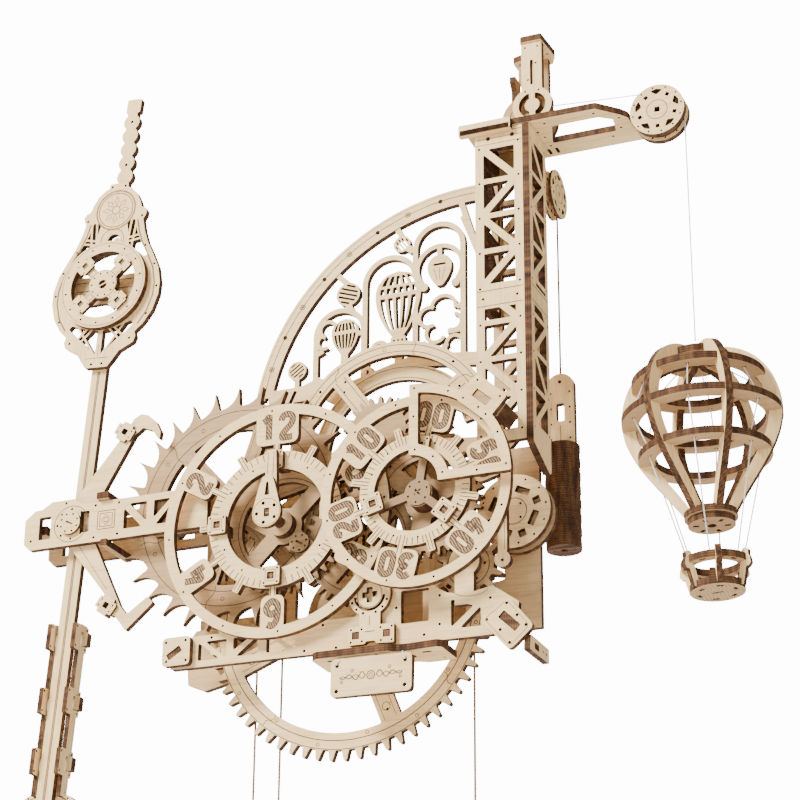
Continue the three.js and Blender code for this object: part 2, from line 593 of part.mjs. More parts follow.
part('drive_wheel', 'face', union(
  sheet(withHoles(gear(DRIVE, TEETH.ring, COARSE, RING_PHASE),
    ...spokeWindows(DRIVE, 52.2, 14, 4, deg(22), 9)), LAYER.ring),
  arbor(DRIVE, SHAFT, LAYER.ring + 1, 46),
  arbor(DRIVE, DRUM.core, CORD_DEPTH - 2.2, CORD_DEPTH + 2.2),
  arbor(DRIVE, DRUM.flange, CORD_DEPTH - 4, CORD_DEPTH - 2),
  arbor(DRIVE, DRUM.flange, CORD_DEPTH + 2, CORD_DEPTH + 4),
));

const WHEEL = { outer: 46.4, inner: 40 };
part('upper_wheel', 'face', union(
  sheet(withHoles(disc(UPPER, WHEEL.outer), ...spokeWindows(UPPER, WHEEL.inner, 10, 4, deg(126), 8)),
    LAYER.upper),
  arbor(UPPER, SHAFT, LAYER.front, 36),
  arbor(UPPER, 6, LAYER.front + 1, LAYER.ring + 1),
  sheet(gear(UPPER, TEETH.pinion, COARSE, upperPhase), LAYER.ring),
  sheet(gear(UPPER, TEETH.upper, CARRY, UPPER_GEAR_PHASE), LAYER.front, GEAR_PLY),
  sheet(gear(UPPER, TEETH.carrier, CARRY, 0), LAYER.behind),
));

// Minute work: a three-armed spider behind the dial, the carrier wheel and the cannon pinion.
const spiderArms = MINUTE_CAPS.map((angle) => bar(MINUTE, polar(MINUTE, 20.7, angle), 5));
const minutePosts = MINUTE_CAPS.map((angle) => rotated(polar(MINUTE, 20.7, angle), 4.6, 4.6, angle));
part('minute_wheel', 'shade', union(
  sheets([disc(MINUTE, 7), ...spiderArms, ...minutePosts], LAYER.spider, 2.3),
  arbor(MINUTE, SHAFT + 1.2, LAYER.spider + 1, LAYER.idler + GEAR_PLY),
  arbor(MINUTE, SHAFT, LAYER.idler, 19.2),
  sheet(withHoles(gear(MINUTE, TEETH.carrier, CARRY, carrierPhase),
    ...spokeWindows(MINUTE, 18, 9, 3, deg(20), 8)), LAYER.front, GEAR_PLY),
  sheet(gear(MINUTE, TEETH.cannon, FINE, CANNON_PHASE), LAYER.idler, GEAR_PLY),
));

part('idler_wheel', 'shade', union(
  sheet(gear(IDLER, TEETH.leaf, FINE, LEAF_PHASE), LAYER.hourGear, GEAR_PLY),
  arbor(IDLER, 1.8, LAYER.front - 1.5, LAYER.idler + 1),
  sheet(withHoles(gear(IDLER, TEETH.idler, FINE, idlerPhase), ...spokeWindows(IDLER, 19, 8, 4, deg(45), 7)),
    LAYER.idler, GEAR_PLY),
));

const hourPosts = HOUR_CAPS.map((angle) =>
  sheet(rotated(polar(HOUR, 24.9, angle), 2.6, 4.6, angle), PLY + FIT, LAYER.hourGear - PLY - FIT + 1));
part('hour_wheel', 'shade', union(
  sheet(withHoles(gear(HOUR, TEETH.hour, FINE, hourPhase), ...spokeWindows(HOUR, 19.5, 8, 4, deg(45), 7),
    disc(HOUR, BORE)), LAYER.hourGear, GEAR_PLY),
  sheet(ring(HOUR, 5.6, BORE), LAYER.front - 1, 5),
  ...hourPosts,
));

// ---------- winding work beside the tower ----------
part('winding_pinion', 'shade', union(
  sheet(gear(WINDER, TEETH.winder, 1.9, 0), LAYER.hourGear + 1.4, 4.6),
  arbor(WINDER, SHAFT, LAYER.front - 1.4, LAYER.hourGear + 6),
));
part('winding_reel', 'face', union(
  sheet(withHoles(disc(REEL, 15.7), rotated([103, -6.5], 9, 3, deg(56)), rotated([101, 4], 4, 4, deg(20)),
    rotated([107.5, 0.5], 4, 4, 0), rotated([101.5, -15], 4, 4, deg(20))), LAYER.escape, 2.8),
  arbor(REEL, 11.5, LAYER.escape + 2.6, 22.4),
  arbor(REEL, 15.7, 22.2, 25),
));
part('reel_pawl', 'face', union(
  sheet(rect(94.8, -28.4, 99.4, 9.5), LAYER.front, PLY),
  sheet(disc([97.1, -28.4], 3.6), LAYER.front),
));

// ---------- pendulum ----------
// Drawn upright about its pivot and then leant over.
const lean = (manifold) => {
  const [c, s] = [Math.cos(TILT), Math.sin(TILT)];
  const [px, pz] = PIVOT;
  return manifold.translate([-px, 0, -pz]).transform([c, 0, -s, 0, 0, 1, 0, 0, s, 0, c, 0, 0, 0, 0, 1])
    .translate([px, 0, pz]);
};
const up = (dx, dz) => [PIVOT[0] + dx, PIVOT[1] + dz];
const ROD = 7.4;
const MEDAL = 114; // height of the medallion's wheel above the pivot

const scallops = Array.from({ length: 6 }, (_, k) => disc(up(0.6, 168 + k * 7), 3.9));
part('pendulum_rod', 'face', lean(union(
  sheet(rect(PIVOT[0] - ROD / 2, PIVOT[1] - 150, PIVOT[0] + ROD / 2, PIVOT[1] + 80), LAYER.pendulum),
  sheet(disc(PIVOT, 9), LAYER.pendulum),
).subtract(arbor(PIVOT, BORE, 12, 16))));
part('pendulum_comb', 'face', lean(sheets(
  [rect(PIVOT[0] - 1.9, PIVOT[1] + 150, PIVOT[0] + 2.1, PIVOT[1] + 210), ...scallops,
    rotated(up(0.6, 209.5), 7.4, 5, 0)], LAYER.pendulum)));

// The medallion: a teardrop with a crown above and shoulders below.
const medallionOutline = outline([
  [-8, 75], [8, 75], [9.5, 84], [17, 87.5], [19, 93], [24.5, 100], [27, 110], [26.5, 119], [21, 130],
  [18, 139], [15.5, 146.5], [17, 150.5], [13, 154.5], [9, 161], [4, 166], [-4, 166], [-9, 161],
  [-13, 154.5], [-17, 150.5],
  [-15.5, 146.5], [-18, 139], [-21, 130], [-26.5, 119], [-27, 110], [-24.5, 100], [-19, 93], [-17, 87.5],
  [-9.5, 84],
].map(([x, z]) => up(x, z)));
const medallionHoles = [
  disc(up(0, MEDAL), 17),
  outline([[-14, 139], [-4.5, 133.5], [-2.5, 141], [-12, 144]].map(([x, z]) => up(x, z))),
  outline([[14, 139], [12, 144], [2.5, 141], [4.5, 133.5]].map(([x, z]) => up(x, z))),
  outline([[-12, 93.5], [-3, 88.5], [-2, 94], [-9, 97]].map(([x, z]) => up(x, z))),
  outline([[12, 93.5], [9, 97], [2, 94], [3, 88.5]].map(([x, z]) => up(x, z))),
];
const MEDALLION_LAYER = LAYER.pendulum - PLY - FIT;
part('pendulum_medallion', 'face',
  lean(sheet(withHoles(medallionOutline, ...medallionHoles), MEDALLION_LAYER)));
const spokesAt = turns(45, 4);
part('pendulum_rosette', 'face', lean(sheets([
  ring(up(0, MEDAL), 21.4, 15.4), disc(up(0, MEDAL), 6.2),
  ...spokesAt.map((a) => bar(up(0, MEDAL), polar(up(0, MEDAL), 17, a), 5)),
], MEDALLION_LAYER - PLY - FIT)));

const anchorArm = [
  outline([
    [-4, 8], [3.5, 6], [8, 5], [27, 38.5], [31, 41.5], [39.5, 33.5], [38, 43], [31.5, 47.8], [25.5, 46],
    [17, 41.5], [21, 36.5]].map(([x, z]) => up(x, z))),
  outline([[3.5, -6], [-3, -8], [17, -34], [14, -39], [22.5, -44], [27, -50.5], [40, -39.5], [37, -36.5],
    [27.5, -43], [24, -39], [9, -6]].map(([x, z]) => up(x, z))),
];
part('anchor', 'face', union(sheets(anchorArm, LAYER.pendulum - PLY - FIT), sheet(disc(PIVOT, 9.4),
  LAYER.pendulum - PLY - FIT)).subtract(arbor(PIVOT, BORE, 8, 16)));

// Ballast rails: two strips held by three pairs of clips, with a steel-filled end below.
const CLIPS = [-49, -77, -103];
const rails = union(
  ...[-1, 1].map((s) => sheet(rect(PIVOT[0] + s * 7.4 - 1.5, PIVOT[1] - 118, PIVOT[0] + s * 7.4 + 1.5,
    PIVOT[1] - 42), LAYER.pendulum - 4.5, 12)),
  ...CLIPS.map((z) => sheet(rect(PIVOT[0] - 9.4, PIVOT[1] + z - 4, PIVOT[0] + 9.4, PIVOT[1] + z + 4),
    LAYER.pendulum + PLY + FIT, 3.6)),
);
part('pendulum_ballast', 'shade', lean(union(
  rails,
  sheet(disc(up(0, -134), 20), LAYER.pendulum + PLY + FIT, 5),
  sheet(rect(PIVOT[0] - 5, PIVOT[1] - 120, PIVOT[0] + 5, PIVOT[1] - 100), LAYER.pendulum + PLY + FIT),
)));

// ---------- hoist ----------
const SHEAVE_FACE = 18.5;
part('jib_sheave', 'face', union(
  sheet(withHoles(disc(SHEAVE, 11.9), ...spokeWindows(SHEAVE, 9.6, 7, 5, 0.2, 4)), SHEAVE_FACE),
  arbor(SHEAVE, 10.3, SHEAVE_FACE + 2.9, SHEAVE_FACE + 6.1),
  sheet(withHoles(disc(SHEAVE, 11.9), ...spokeWindows(SHEAVE, 9.6, 7, 5, 0.2, 4)), SHEAVE_FACE + 6),
).subtract(arbor(SHEAVE, 1.7, 24, 30)));
part('winch_drum', 'edge', union(
  arbor(WINCH, 11.6, 26.6, 29.4),
  arbor(WINCH, 6.5, 29.2, 33.4),
  arbor(WINCH, 11.6, 33.2, 36),
).subtract(arbor(WINCH, 1.7, 26, 37)));
part('counter_sheave', 'shade', union(
  side(disc([WHEEL_Y, WHEEL_Z], 11), COUNTER[0] - 2.4, 1.2),
  side(disc([WHEEL_Y, WHEEL_Z], 2.9), COUNTER[0] - 1.3, 2.6),
  side(disc([WHEEL_Y, WHEEL_Z], 11), COUNTER[0] + 1.2, 1.2),
).subtract(side(disc([WHEEL_Y, WHEEL_Z], 1.5), COUNTER[0] - 3, 6)));

const ROPE = 0.35;
const STRING_TOP = SHEAVE[1] - 1;
const BALLOON_TOP = 60.5;
part('balloon_string', 'cord', cord([[BALLOON[0], BALLOON[1], STRING_TOP],
  [BALLOON[0], BALLOON[1], BALLOON_TOP + FIT]], ROPE, 1));
part('winch_string', 'cord', cord([
  [WINCH[0] + 2, 31.3, WINCH[1] + 6.9], [SHEAVE[0] - 2, BALLOON[1], SHEAVE[1] + 10.9]],
  ROPE, 1));
part('counter_cord', 'twine', cord([[...COUNTER, WHEEL_Z], [...COUNTER, 66.3]], 0.5, 1));

function discStack() {
  const profile = [new THREE.Vector2(0, -13)];
  const DISCS = 5;
  const step = 46 / DISCS;
  for (let k = 0; k < DISCS; k += 1) {
    const z = -13 + k * step;
    profile.push(new THREE.Vector2(7.4, z), new THREE.Vector2(7.4, z + step - 0.5));
    profile.push(new THREE.Vector2(7, z + step - 0.4));
  }
  profile.push(new THREE.Vector2(0, 33));
  const lathe = new THREE.LatheGeometry(profile, 12);
  lathe.rotateX(Math.PI / 2);
  lathe.translate(COUNTER[0], COUNTER[1] - WALL, 0);
  return solid(lathe);
}
part('counterweight', 'edge', union(
  discStack(),
  sheet(rect(COUNTER[0] - 6, 32, COUNTER[0] + 6, 60), COUNTER[1] - PLY / 2),
  sheet(disc([COUNTER[0], 60], 6), COUNTER[1] - PLY / 2),
));

// ---------- balloon ----------
const RIBS = 6;
const AXIS = new THREE.Vector2(...BALLOON);
function around(manifold, angle) {
  return manifold.rotate([0, 0, angle]).translate([AXIS.x, AXIS.y - WALL, 0]);
}
const RIB_ANGLE = 4.5;
const LOW_HOOP = 10;
const BASKET_RAIL = -37;

// One rib in the plane y = 0, x outward.
function rib() {
  const outer = new THREE.Shape();
  outer.moveTo(5, 60.5);
  outer.bezierCurveTo(23, 62, 33.8, 48, 33.8, 29);
  outer.bezierCurveTo(33.8, 11, 19, 0, 10, -15);
  outer.lineTo(6, -15);
  outer.bezierCurveTo(13, 1, 28, 13, 28, 28);
  outer.bezierCurveTo(28, 43, 19, 55, 5, 54);
  outer.closePath();
  return prism(outer).rotate([90, 0, 0]).translate([0, PLY / 2, 0]);
}
function flat(outer, inner, bottom, thickness = PLY) {
  const shape = inner ? ring([0, 0], outer, inner) : disc([0, 0], outer);
  return prism(shape, thickness).translate([AXIS.x, AXIS.y - WALL, bottom]);
}
const ribTemplate = rib();
part('balloon_envelope', 'face', union(
  ...Array.from({ length: RIBS }, (_, k) => around(ribTemplate, RIB_ANGLE + (k * 360) / RIBS)),
  flat(13.2, 0, 54.4),
  flat(26, 20.6, 42),
  flat(32.2, 26.4, 26),
  flat(26.4, 20.8, LOW_HOOP),
  flat(10.8, 0, -18, PLY),
  flat(9.4, 0, -15.1, 2.4),
));
const basketPost = () => {
  const shape = outline([[9.8, -45], [12, -45], [15.2, -36.6], [15, -33.4], [13.6, -31.8], [12.4, -35]]);
  return prism(shape, 2.4).rotate([90, 0, 0]).translate([0, 1.2, 0]);
};
const postTemplate = basketPost();
part('balloon_basket', 'face', union(
  flat(11, 0, -47, PLY),
  flat(13.4, 9.2, BASKET_RAIL, PLY),
  ...Array.from({ length: RIBS }, (_, k) => around(postTemplate, 50 + (k * 360) / RIBS)),
));
for (let k = 0; k < RIBS; k += 1) {
  const angle = deg(RIB_ANGLE + ((k + 0.5) * 360) / RIBS);
  const [x0, d0] = polar(BALLOON, 11.4, angle);
  const [x1, d1] = polar(BALLOON, 23.6, angle);
  const ends = [[x0, d0, BASKET_RAIL + PLY + 0.6], [x1, d1, LOW_HOOP - 0.6]];
  part(`rigging_${k + 1}`, 'cord', cord(ends, 0.3, 1));
}

// ---------- sign ----------
part('sign_board', 'face', sheet(withHoles(rotated([43, -70.9], 35, 15.8, deg(-0.7)), disc([30, -65.5], 0.7),
  disc([56.5, -66], 0.7)), 2));

[[30, 30.6], [56.5, 55.9]].forEach(([x, top], k) => {
  const bottom = SHELF_BOTTOM - FIT;
  part(`sign_loop_${k + 1}`, 'cord', cord([[x, 1.5, -65.6], [top, 1.4, bottom]], 0.3, 1));
});

// ---------- drive cords and weight ----------
const CORD_END = -122;
const PEG_TOP = -34;
part('drive_cord_fixed', 'twine', cord([
  [FALLS[0], CORD_DEPTH, PEG_TOP - FIT], [FALLS[0], CORD_DEPTH, CORD_END]], 0.5, 1));
part('drive_cord_running', 'twine', cord([
  [DRIVE[0] - DRUM.core - 0.9, CORD_DEPTH, -33], [-4, CORD_DEPTH, -37.4], [-10.4, CORD_DEPTH, -41],
  [FALLS[1], CORD_DEPTH, -48], [FALLS[1], CORD_DEPTH, -85], [FALLS[1], CORD_DEPTH, CORD_END]], 0.5, 20));
const BIGHT = (FALLS[0] + FALLS[1]) / 2;
part('drive_weight', 'shade', union(
  arbor([BIGHT, CORD_END - 6.4], 6, CORD_DEPTH - 4, CORD_DEPTH + 4),
  block(BIGHT - 4, BIGHT + 4, CORD_DEPTH - 3, CORD_DEPTH + 3, CORD_END - 24, CORD_END - 8),
  block(BIGHT - 13, BIGHT + 13, CORD_DEPTH - 7.6, CORD_DEPTH + 13.4, CORD_END - 48, CORD_END - 22),
));
const PULL = 73.9;
part('winding_cord', 'twine', cord([
  [PULL, CORD_DEPTH, PEG_TOP - FIT], [PULL, CORD_DEPTH, CORD_END]], 0.5, 1));
part('winding_ring', 'face', sheet(ring([PULL, CORD_END - FIT - 8], 8, 5), CORD_DEPTH - PLY / 2));

// ---------- wall bracket ----------
const POST_END = WALL - PLY + 1; // the posts are let into the plate
part('wall_bracket', 'shade', union(
  sheet(withHoles(outline([[-50, -36], [80, -36], [80, -26], [-14, -26], [-14, -7], [7, -7], [7, 7],
    [-14, 7], [-14, 20], [-50, 20]]), rect(-44, -22, -20, 12)), WALL - PLY),
  block(-48, -34, 30.3, POST_END, 8, 18),
  block(-48, -36, 30.3, POST_END, -36, -29),
  block(46, 58, 30.3, POST_END, -36, -29),
  ...[FALLS[0], PULL].map((x) => block(x - 3, x + 3, CORD_DEPTH - 3, POST_END, PEG_TOP, PEG_TOP + 4)),
));

export default clock;
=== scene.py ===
"""A laser-cut plywood wall clock with a pendulum, a lattice crane and a ribbed balloon, over its CAD frame.

Every flat piece is drawn in the two coordinates of its sheet, in millimetres, then cut, engraved and burnt.
"""
import json
import math

import bmesh
import bpy
from mathutils import Matrix, Vector


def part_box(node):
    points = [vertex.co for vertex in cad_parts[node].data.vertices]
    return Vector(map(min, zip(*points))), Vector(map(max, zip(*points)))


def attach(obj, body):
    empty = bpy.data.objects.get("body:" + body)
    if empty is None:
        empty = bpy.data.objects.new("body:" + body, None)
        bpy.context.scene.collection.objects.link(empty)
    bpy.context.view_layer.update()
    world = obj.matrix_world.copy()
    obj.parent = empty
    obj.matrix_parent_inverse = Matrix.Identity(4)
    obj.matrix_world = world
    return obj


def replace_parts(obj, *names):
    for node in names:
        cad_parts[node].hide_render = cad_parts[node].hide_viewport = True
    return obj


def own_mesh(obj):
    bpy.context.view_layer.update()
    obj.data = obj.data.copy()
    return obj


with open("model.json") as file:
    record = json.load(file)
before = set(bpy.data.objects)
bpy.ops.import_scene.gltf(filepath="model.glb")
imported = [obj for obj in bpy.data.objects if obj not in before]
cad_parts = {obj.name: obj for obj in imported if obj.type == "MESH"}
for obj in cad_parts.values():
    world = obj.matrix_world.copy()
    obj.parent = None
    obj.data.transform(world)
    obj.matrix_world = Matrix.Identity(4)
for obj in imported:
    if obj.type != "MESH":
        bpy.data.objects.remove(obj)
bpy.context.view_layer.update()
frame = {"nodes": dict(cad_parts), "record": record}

MM = 0.001
TAU = 2 * math.pi
rad = math.radians

# ---------------------------------------------------------------- places taken from the frame
JOINTS = {joint["name"]: joint for joint in frame["record"]["behaviour"]["joints"]}


def axis_of(joint):
    x, _, z = JOINTS[joint]["pos_m"]
    return x / MM, z / MM


HOUR, MINUTE, ESCAPE = axis_of("hour_turn"), axis_of("minute_turn"), axis_of("escape_turn")
UPPER, DRIVE, REEL = axis_of("upper_turn"), axis_of("drive_turn"), axis_of("reel_turn")
PIVOT, SHEAVE, WINCH = axis_of("pendulum_swing"), axis_of("jib_sheave_turn"), axis_of("winch_turn")
WHEEL_PULLEY = [v / MM for v in JOINTS["counter_sheave_turn"]["pos_m"]]
BALLOON = [(low + high) / 2 / MM for low, high in zip(*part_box("balloon_envelope"))][:2]

PLY = 3.0  # one plywood sheet
ARBOR, BORE = 2.4, 2.7  # radius of an arbor and of the hole round it
COARSE, TRAIN, FINE = 1.93, 1.4, 1.36  # gear modules
STEP = 1.4  # about the length of one side of a curve
LINE_GAIN = 1.25  # engraved lines are drawn this much wider
STROKE = 2.5  # of a numeral


def low(node, axis):
    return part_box(node)[0][axis] / MM


def high(node, axis):
    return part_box(node)[1][axis] / MM


def middle(node, axis):
    return (low(node, axis) + high(node, axis)) / 2


def joint_travel(joint):
    return max(abs(end) for end in JOINTS[joint]["range_m"]) / MM


FRONT = low("front_beam_left", 1)
REAR = low("arch_frame", 1)
HOUR_FACE = high("hour_dial", 1) - PLY
MINUTE_FACE = high("minute_dial", 1) - PLY
WINDOW_FACE = low("window_frame", 1)
PENDULUM_FACE = low("pendulum_rod", 1)


def behind(depth):
    """A depth behind the hour dial's face."""
    return HOUR_FACE + depth


def level(points):
    """Points across and behind the hour dial's face, for a level sheet."""
    return [(x, behind(depth)) for x, depth in points]


# ---------------------------------------------------------------- camera
CAMERA_FROM_HOUR = (0.3994415, -0.8303622, -0.3473628)  # from the middle of the hour dial's face
YAW, PITCH, ROLL = rad(22.502092), rad(23.556641), rad(-0.414416)
SENSOR_MM, LENS_MM = 36, 107.3286


def make_camera():
    forward = Vector((-math.sin(YAW) * math.cos(PITCH), math.cos(YAW) * math.cos(PITCH), math.sin(PITCH)))
    right0 = Vector((math.cos(YAW), math.sin(YAW), 0))
    down0 = -right0.cross(forward)
    right = math.cos(ROLL) * right0 + math.sin(ROLL) * down0
    down = -math.sin(ROLL) * right0 + math.cos(ROLL) * down0
    data = bpy.data.cameras.new("camera")
    data.sensor_width = SENSOR_MM
    data.lens = LENS_MM
    data.clip_start = 0.05
    data.clip_end = 50
    camera = bpy.data.objects.new("camera", data)
    bpy.context.collection.objects.link(camera)
    turn = Matrix((right, -down, -forward)).transposed()
    place = Vector(CAMERA_FROM_HOUR) + Vector((0, HOUR_FACE * MM, 0))
    camera.matrix_world = Matrix.Translation(place) @ turn.to_4x4()
    bpy.context.scene.camera = camera


make_camera()


# ---------------------------------------------------------------- materials
def new_material(name):
    material = bpy.data.materials.new(name)
    material.use_nodes = True
    tree = material.node_tree
    return material, tree, tree.nodes["Principled BSDF"]


def node(tree, kind, **values):
    made = tree.nodes.new(kind)
    for key, value in values.items():
        if key in made.inputs:
            made.inputs[key].default_value = value
        else:
            setattr(made, key, value)
    return made


def ramp(tree, source, stops):
    made = tree.nodes.new("ShaderNodeValToRGB")
    elements = made.color_ramp.elements
    while len(elements) < len(stops):
        elements.new(0.5)
    for element, (at, colour) in zip(elements, stops):
        element.position = at
        element.color = (*colour, 1)
    tree.links.new(source, made.inputs["Fac"])
    return made.outputs["Color"]


def multiplied(tree, a, b, factor):
    made = tree.nodes.new("ShaderNodeMix")
    made.data_type = "RGBA"
    made.blend_type = "MULTIPLY"
    made.inputs["Factor"].default_value = factor
    tree.links.new(a, made.inputs["A"])
    tree.links.new(b, made.inputs["B"])
    return made.outputs["Result"]


def stretched(tree, scale, turn=(0, 0, 0)):
    where = tree.nodes.new("ShaderNodeTexCoord")
    mapping = node(tree, "ShaderNodeMapping", Scale=scale, Rotation=turn)
    tree.links.new(where.outputs["Object"], mapping.inputs["Vector"])
    return mapping.outputs["Vector"]


def noise(tree, vector, scale, detail=4.0, rough=0.55):
    made = node(tree, "ShaderNodeTexNoise", Scale=scale, Detail=detail, Roughness=rough)
    tree.links.new(vector, made.inputs["Vector"])
    return made.outputs["Fac"]


def bump(tree, shader, height, strength, distance):
    made = node(tree, "ShaderNodeBump", Strength=strength, Distance=distance)
    tree.links.new(height, made.inputs["Height"])
    tree.links.new(made.outputs["Normal"], shader.inputs["Normal"])


def birch(name, light, dark, axis, turn=0.0):
    """Sanded birch veneer: long fine grain, short dark pores, broad tone changes and faint smoke stains."""
    material, tree, shader = new_material(name)
    along = {"x": (0.07, 1, 1), "z": (1, 1, 0.07), "y": (1, 0.07, 1)}[axis]
    vector = stretched(tree, along, (0, turn, 0))
    grain = noise(tree, vector, 900.0, 6.0, 0.6)
    colour = ramp(tree, grain, [(0.3, dark), (0.52, light), (0.75, tuple(c * 1.05 for c in light))])
    figure = noise(tree, vector, 130.0, 3.0)
    colour = multiplied(tree, colour, ramp(tree, figure, [(0.35, (0.93, 0.90, 0.86)), (0.65, (1, 1, 1))]),
                        0.8)
    across = tuple(c * (1 if c < 1 else 3) for c in along)
    pores = noise(tree, stretched(tree, across, (0, turn, 0)), 1500.0, 2.0)
    colour = multiplied(tree, colour, ramp(tree, pores, [(0.27, (0.70, 0.58, 0.44)), (0.36, (1, 1, 1))]),
                        0.65)
    smoke = noise(tree, stretched(tree, (1, 1, 1)), 42.0, 3.0)
    colour = multiplied(tree, colour, ramp(tree, smoke, [(0.28, (0.90, 0.82, 0.70)), (0.5, (1, 1, 1))]), 0.6)
    tree.links.new(colour, shader.inputs["Base Color"])
    tree.links.new(ramp(tree, grain, [(0.3, (0.62,) * 3), (0.7, (0.78,) * 3)]), shader.inputs["Roughness"])
    shader.inputs["Specular IOR Level"].default_value = 0.25
    bump(tree, shader, grain, 0.25, 0.00012)
    return material


def burnt(name, bright, mid, deep, layer_axis):
    """A laser-cut edge: three veneers in bands across the sheet, scorched unevenly along the cut."""
    material, tree, shader = new_material(name)
    index = "xyz".index(layer_axis)
    where = tree.nodes.new("ShaderNodeTexCoord")
    split = tree.nodes.new("ShaderNodeSeparateXYZ")
    tree.links.new(where.outputs["Object"], split.inputs["Vector"])
    waves = node(tree, "ShaderNodeMath", operation="MULTIPLY")
    tree.links.new(split.outputs[index], waves.inputs[0])
    waves.inputs[1].default_value = TAU / (PLY / 3 * MM)
    sine = node(tree, "ShaderNodeMath", operation="SINE")
    tree.links.new(waves.outputs[0], sine.inputs[0])
    band = ramp(tree, sine.outputs[0], [(0.0, (0.48, 0.42, 0.38)), (0.6, (1, 1, 1))])
    streaks = [6.0, 6.0, 6.0]
    streaks[index] = 1.0
    scorch = noise(tree, stretched(tree, tuple(streaks)), 70.0, 4.0, 0.5)
    colour = ramp(tree, scorch, [(0.28, deep), (0.46, mid), (0.68, bright)])
    colour = multiplied(tree, colour, band, 0.75)
    tree.links.new(colour, shader.inputs["Base Color"])
    shader.inputs["Roughness"].default_value = 0.82
    shader.inputs["Specular IOR Level"].default_value = 0.2
    bump(tree, shader, scorch, 0.4, 0.0002)
    return material


def engraving(name, bright, deep):
    material, tree, shader = new_material(name)
    scorch = noise(tree, stretched(tree, (1, 1, 1)), 900.0, 3.0)
    tree.links.new(ramp(tree, scorch, [(0.3, deep), (0.7, bright)]), shader.inputs["Base Color"])
    shader.inputs["Roughness"].default_value = 0.9
    return material


def hatching(name, turn):
    """Engraved zig-zag stitching that fills the numerals."""
    material, tree, shader = new_material(name)
    bands = node(tree, "ShaderNodeTexWave", wave_type="BANDS", bands_direction="X", wave_profile="TRI")
    bands.inputs["Scale"].default_value = 300.0
    bands.inputs["Distortion"].default_value = 5.0
    bands.inputs["Detail"].default_value = 1.0
    tree.links.new(stretched(tree, (1, 1, 1), (0, turn, 0)), bands.inputs["Vector"])
    line = ramp(tree, bands.outputs["Fac"], [(0.34, (0.045, 0.020, 0.008)), (0.56, (0.36, 0.22, 0.10))])
    smoke = noise(tree, stretched(tree, (1, 1, 1)), 500.0, 2.0)
    colour = multiplied(tree, line, ramp(tree, smoke, [(0.3, (0.8, 0.75, 0.7)), (0.6, (1, 1, 1))]), 0.8)
    tree.links.new(colour, shader.inputs["Base Color"])
    shader.inputs["Roughness"].default_value = 0.9
    bump(tree, shader, bands.outputs["Fac"], 0.5, 0.0002)
    return material


def thread(name, light, dark):
    """Twisted thread: slanting strands round the cord."""
    material, tree, shader = new_material(name)
    strands = node(tree, "ShaderNodeTexWave", wave_type="BANDS", bands_direction="DIAGONAL")
    strands.inputs["Scale"].default_value = 420.0
    strands.inputs["Distortion"].default_value = 1.5
    tree.links.new(stretched(tree, (1, 1, 1)), strands.inputs["Vector"])
    tree.links.new(ramp(tree, strands.outputs["Fac"], [(0.2, dark), (0.7, light)]),
                   shader.inputs["Base Color"])
    shader.inputs["Roughness"].default_value = 0.85
    bump(tree, shader, strands.outputs["Fac"], 0.6, 0.0001)
    return material


LIGHT, PALE = (0.87, 0.61, 0.29), (0.70, 0.46, 0.20)
# The last three are darker copies of the same birch: painted shade for pieces set behind, under or inside
# others, from light shade to deep shade.
FACE = {
    "upright": birch("birch_upright", LIGHT, PALE, "z"),
    "across": birch("birch_across", LIGHT, PALE, "x"),
    "slanted": birch("birch_slanted", LIGHT, PALE, "x", rad(35)),
    "deep": birch("birch_painted_half_shade", (0.58, 0.38, 0.18), (0.46, 0.28, 0.12), "x"),
    "painted_shade": birch("birch_painted_shade", (0.46, 0.29, 0.135), (0.35, 0.21, 0.09), "x", rad(-20)),
    "shade": birch("birch_shade", (0.30, 0.18, 0.085), (0.22, 0.13, 0.06), "x", rad(20)),
}
BRIGHT_EDGE, MID_EDGE, DEEP_EDGE = (0.17, 0.080, 0.031), (0.080, 0.034, 0.013), (0.028, 0.011, 0.004)
FACE["end"] = burnt("burnt_end", (0.22, 0.11, 0.05), (0.10, 0.045, 0.02), (0.035, 0.015, 0.008), "x")
EDGE = {axis: burnt("burnt_" + axis, BRIGHT_EDGE, MID_EDGE, DEEP_EDGE, axis) for axis in "xyz"}
LINE = engraving("engraved_line", (0.10, 0.045, 0.018), (0.035, 0.015, 0.006))
FAINT = engraving("engraved_faint", (0.30, 0.17, 0.075), (0.17, 0.09, 0.038))
HATCH = hatching("engraved_hatch", rad(30))
WHITE_THREAD = thread("thread_white", (0.80, 0.77, 0.70), (0.58, 0.55, 0.49))
BROWN_CORD = thread("cord_brown", (0.30, 0.18, 0.09), (0.13, 0.07, 0.03))

# ---------------------------------------------------------------- outlines, as lists of (u, v) in millimetres
def polar(centre, radius, angle):
    return centre[0] + radius * math.cos(angle), centre[1] + radius * math.sin(angle)


def arc(centre, radius, start, end):
    steps = max(3, round(abs(end - start) * radius / STEP))
    return [polar(centre, radius, start + (end - start) * k / steps) for k in range(steps + 1)]


def disc(centre, radius):
    sides = max(12, 4 * round(TAU * radius / STEP / 4))
    return [polar(centre, radius, TAU * k / sides) for k in range(sides)]


def rect(u0, v0, u1, v1):
    return [(u0, v0), (u1, v0), (u1, v1), (u0, v1)]


def turned(centre, width, height, angle):
    c, s = math.cos(angle), math.sin(angle)
    corners = rect(-width / 2, -height / 2, width / 2, height / 2)
    return [(centre[0] + u * c - v * s, centre[1] + u * s + v * c) for u, v in corners]


def square(centre, size, angle=0.0):
    return turned(centre, size, size, angle)


def bar(a, b, width):
    angle = math.atan2(b[1] - a[1], b[0] - a[0])
    return turned(((a[0] + b[0]) / 2, (a[1] + b[1]) / 2), math.dist(a, b), width, angle)


def bar_line(a, b):
    return [a, ((a[0] + b[0]) / 2, (a[1] + b[1]) / 2), b]


def spoke_line(centre, start, end, side, angle):
    """A line along a spoke, beside its own middle."""
    return bar_line(*(polar(polar(centre, radius, angle), side, angle + TAU / 4) for radius in (start, end)))


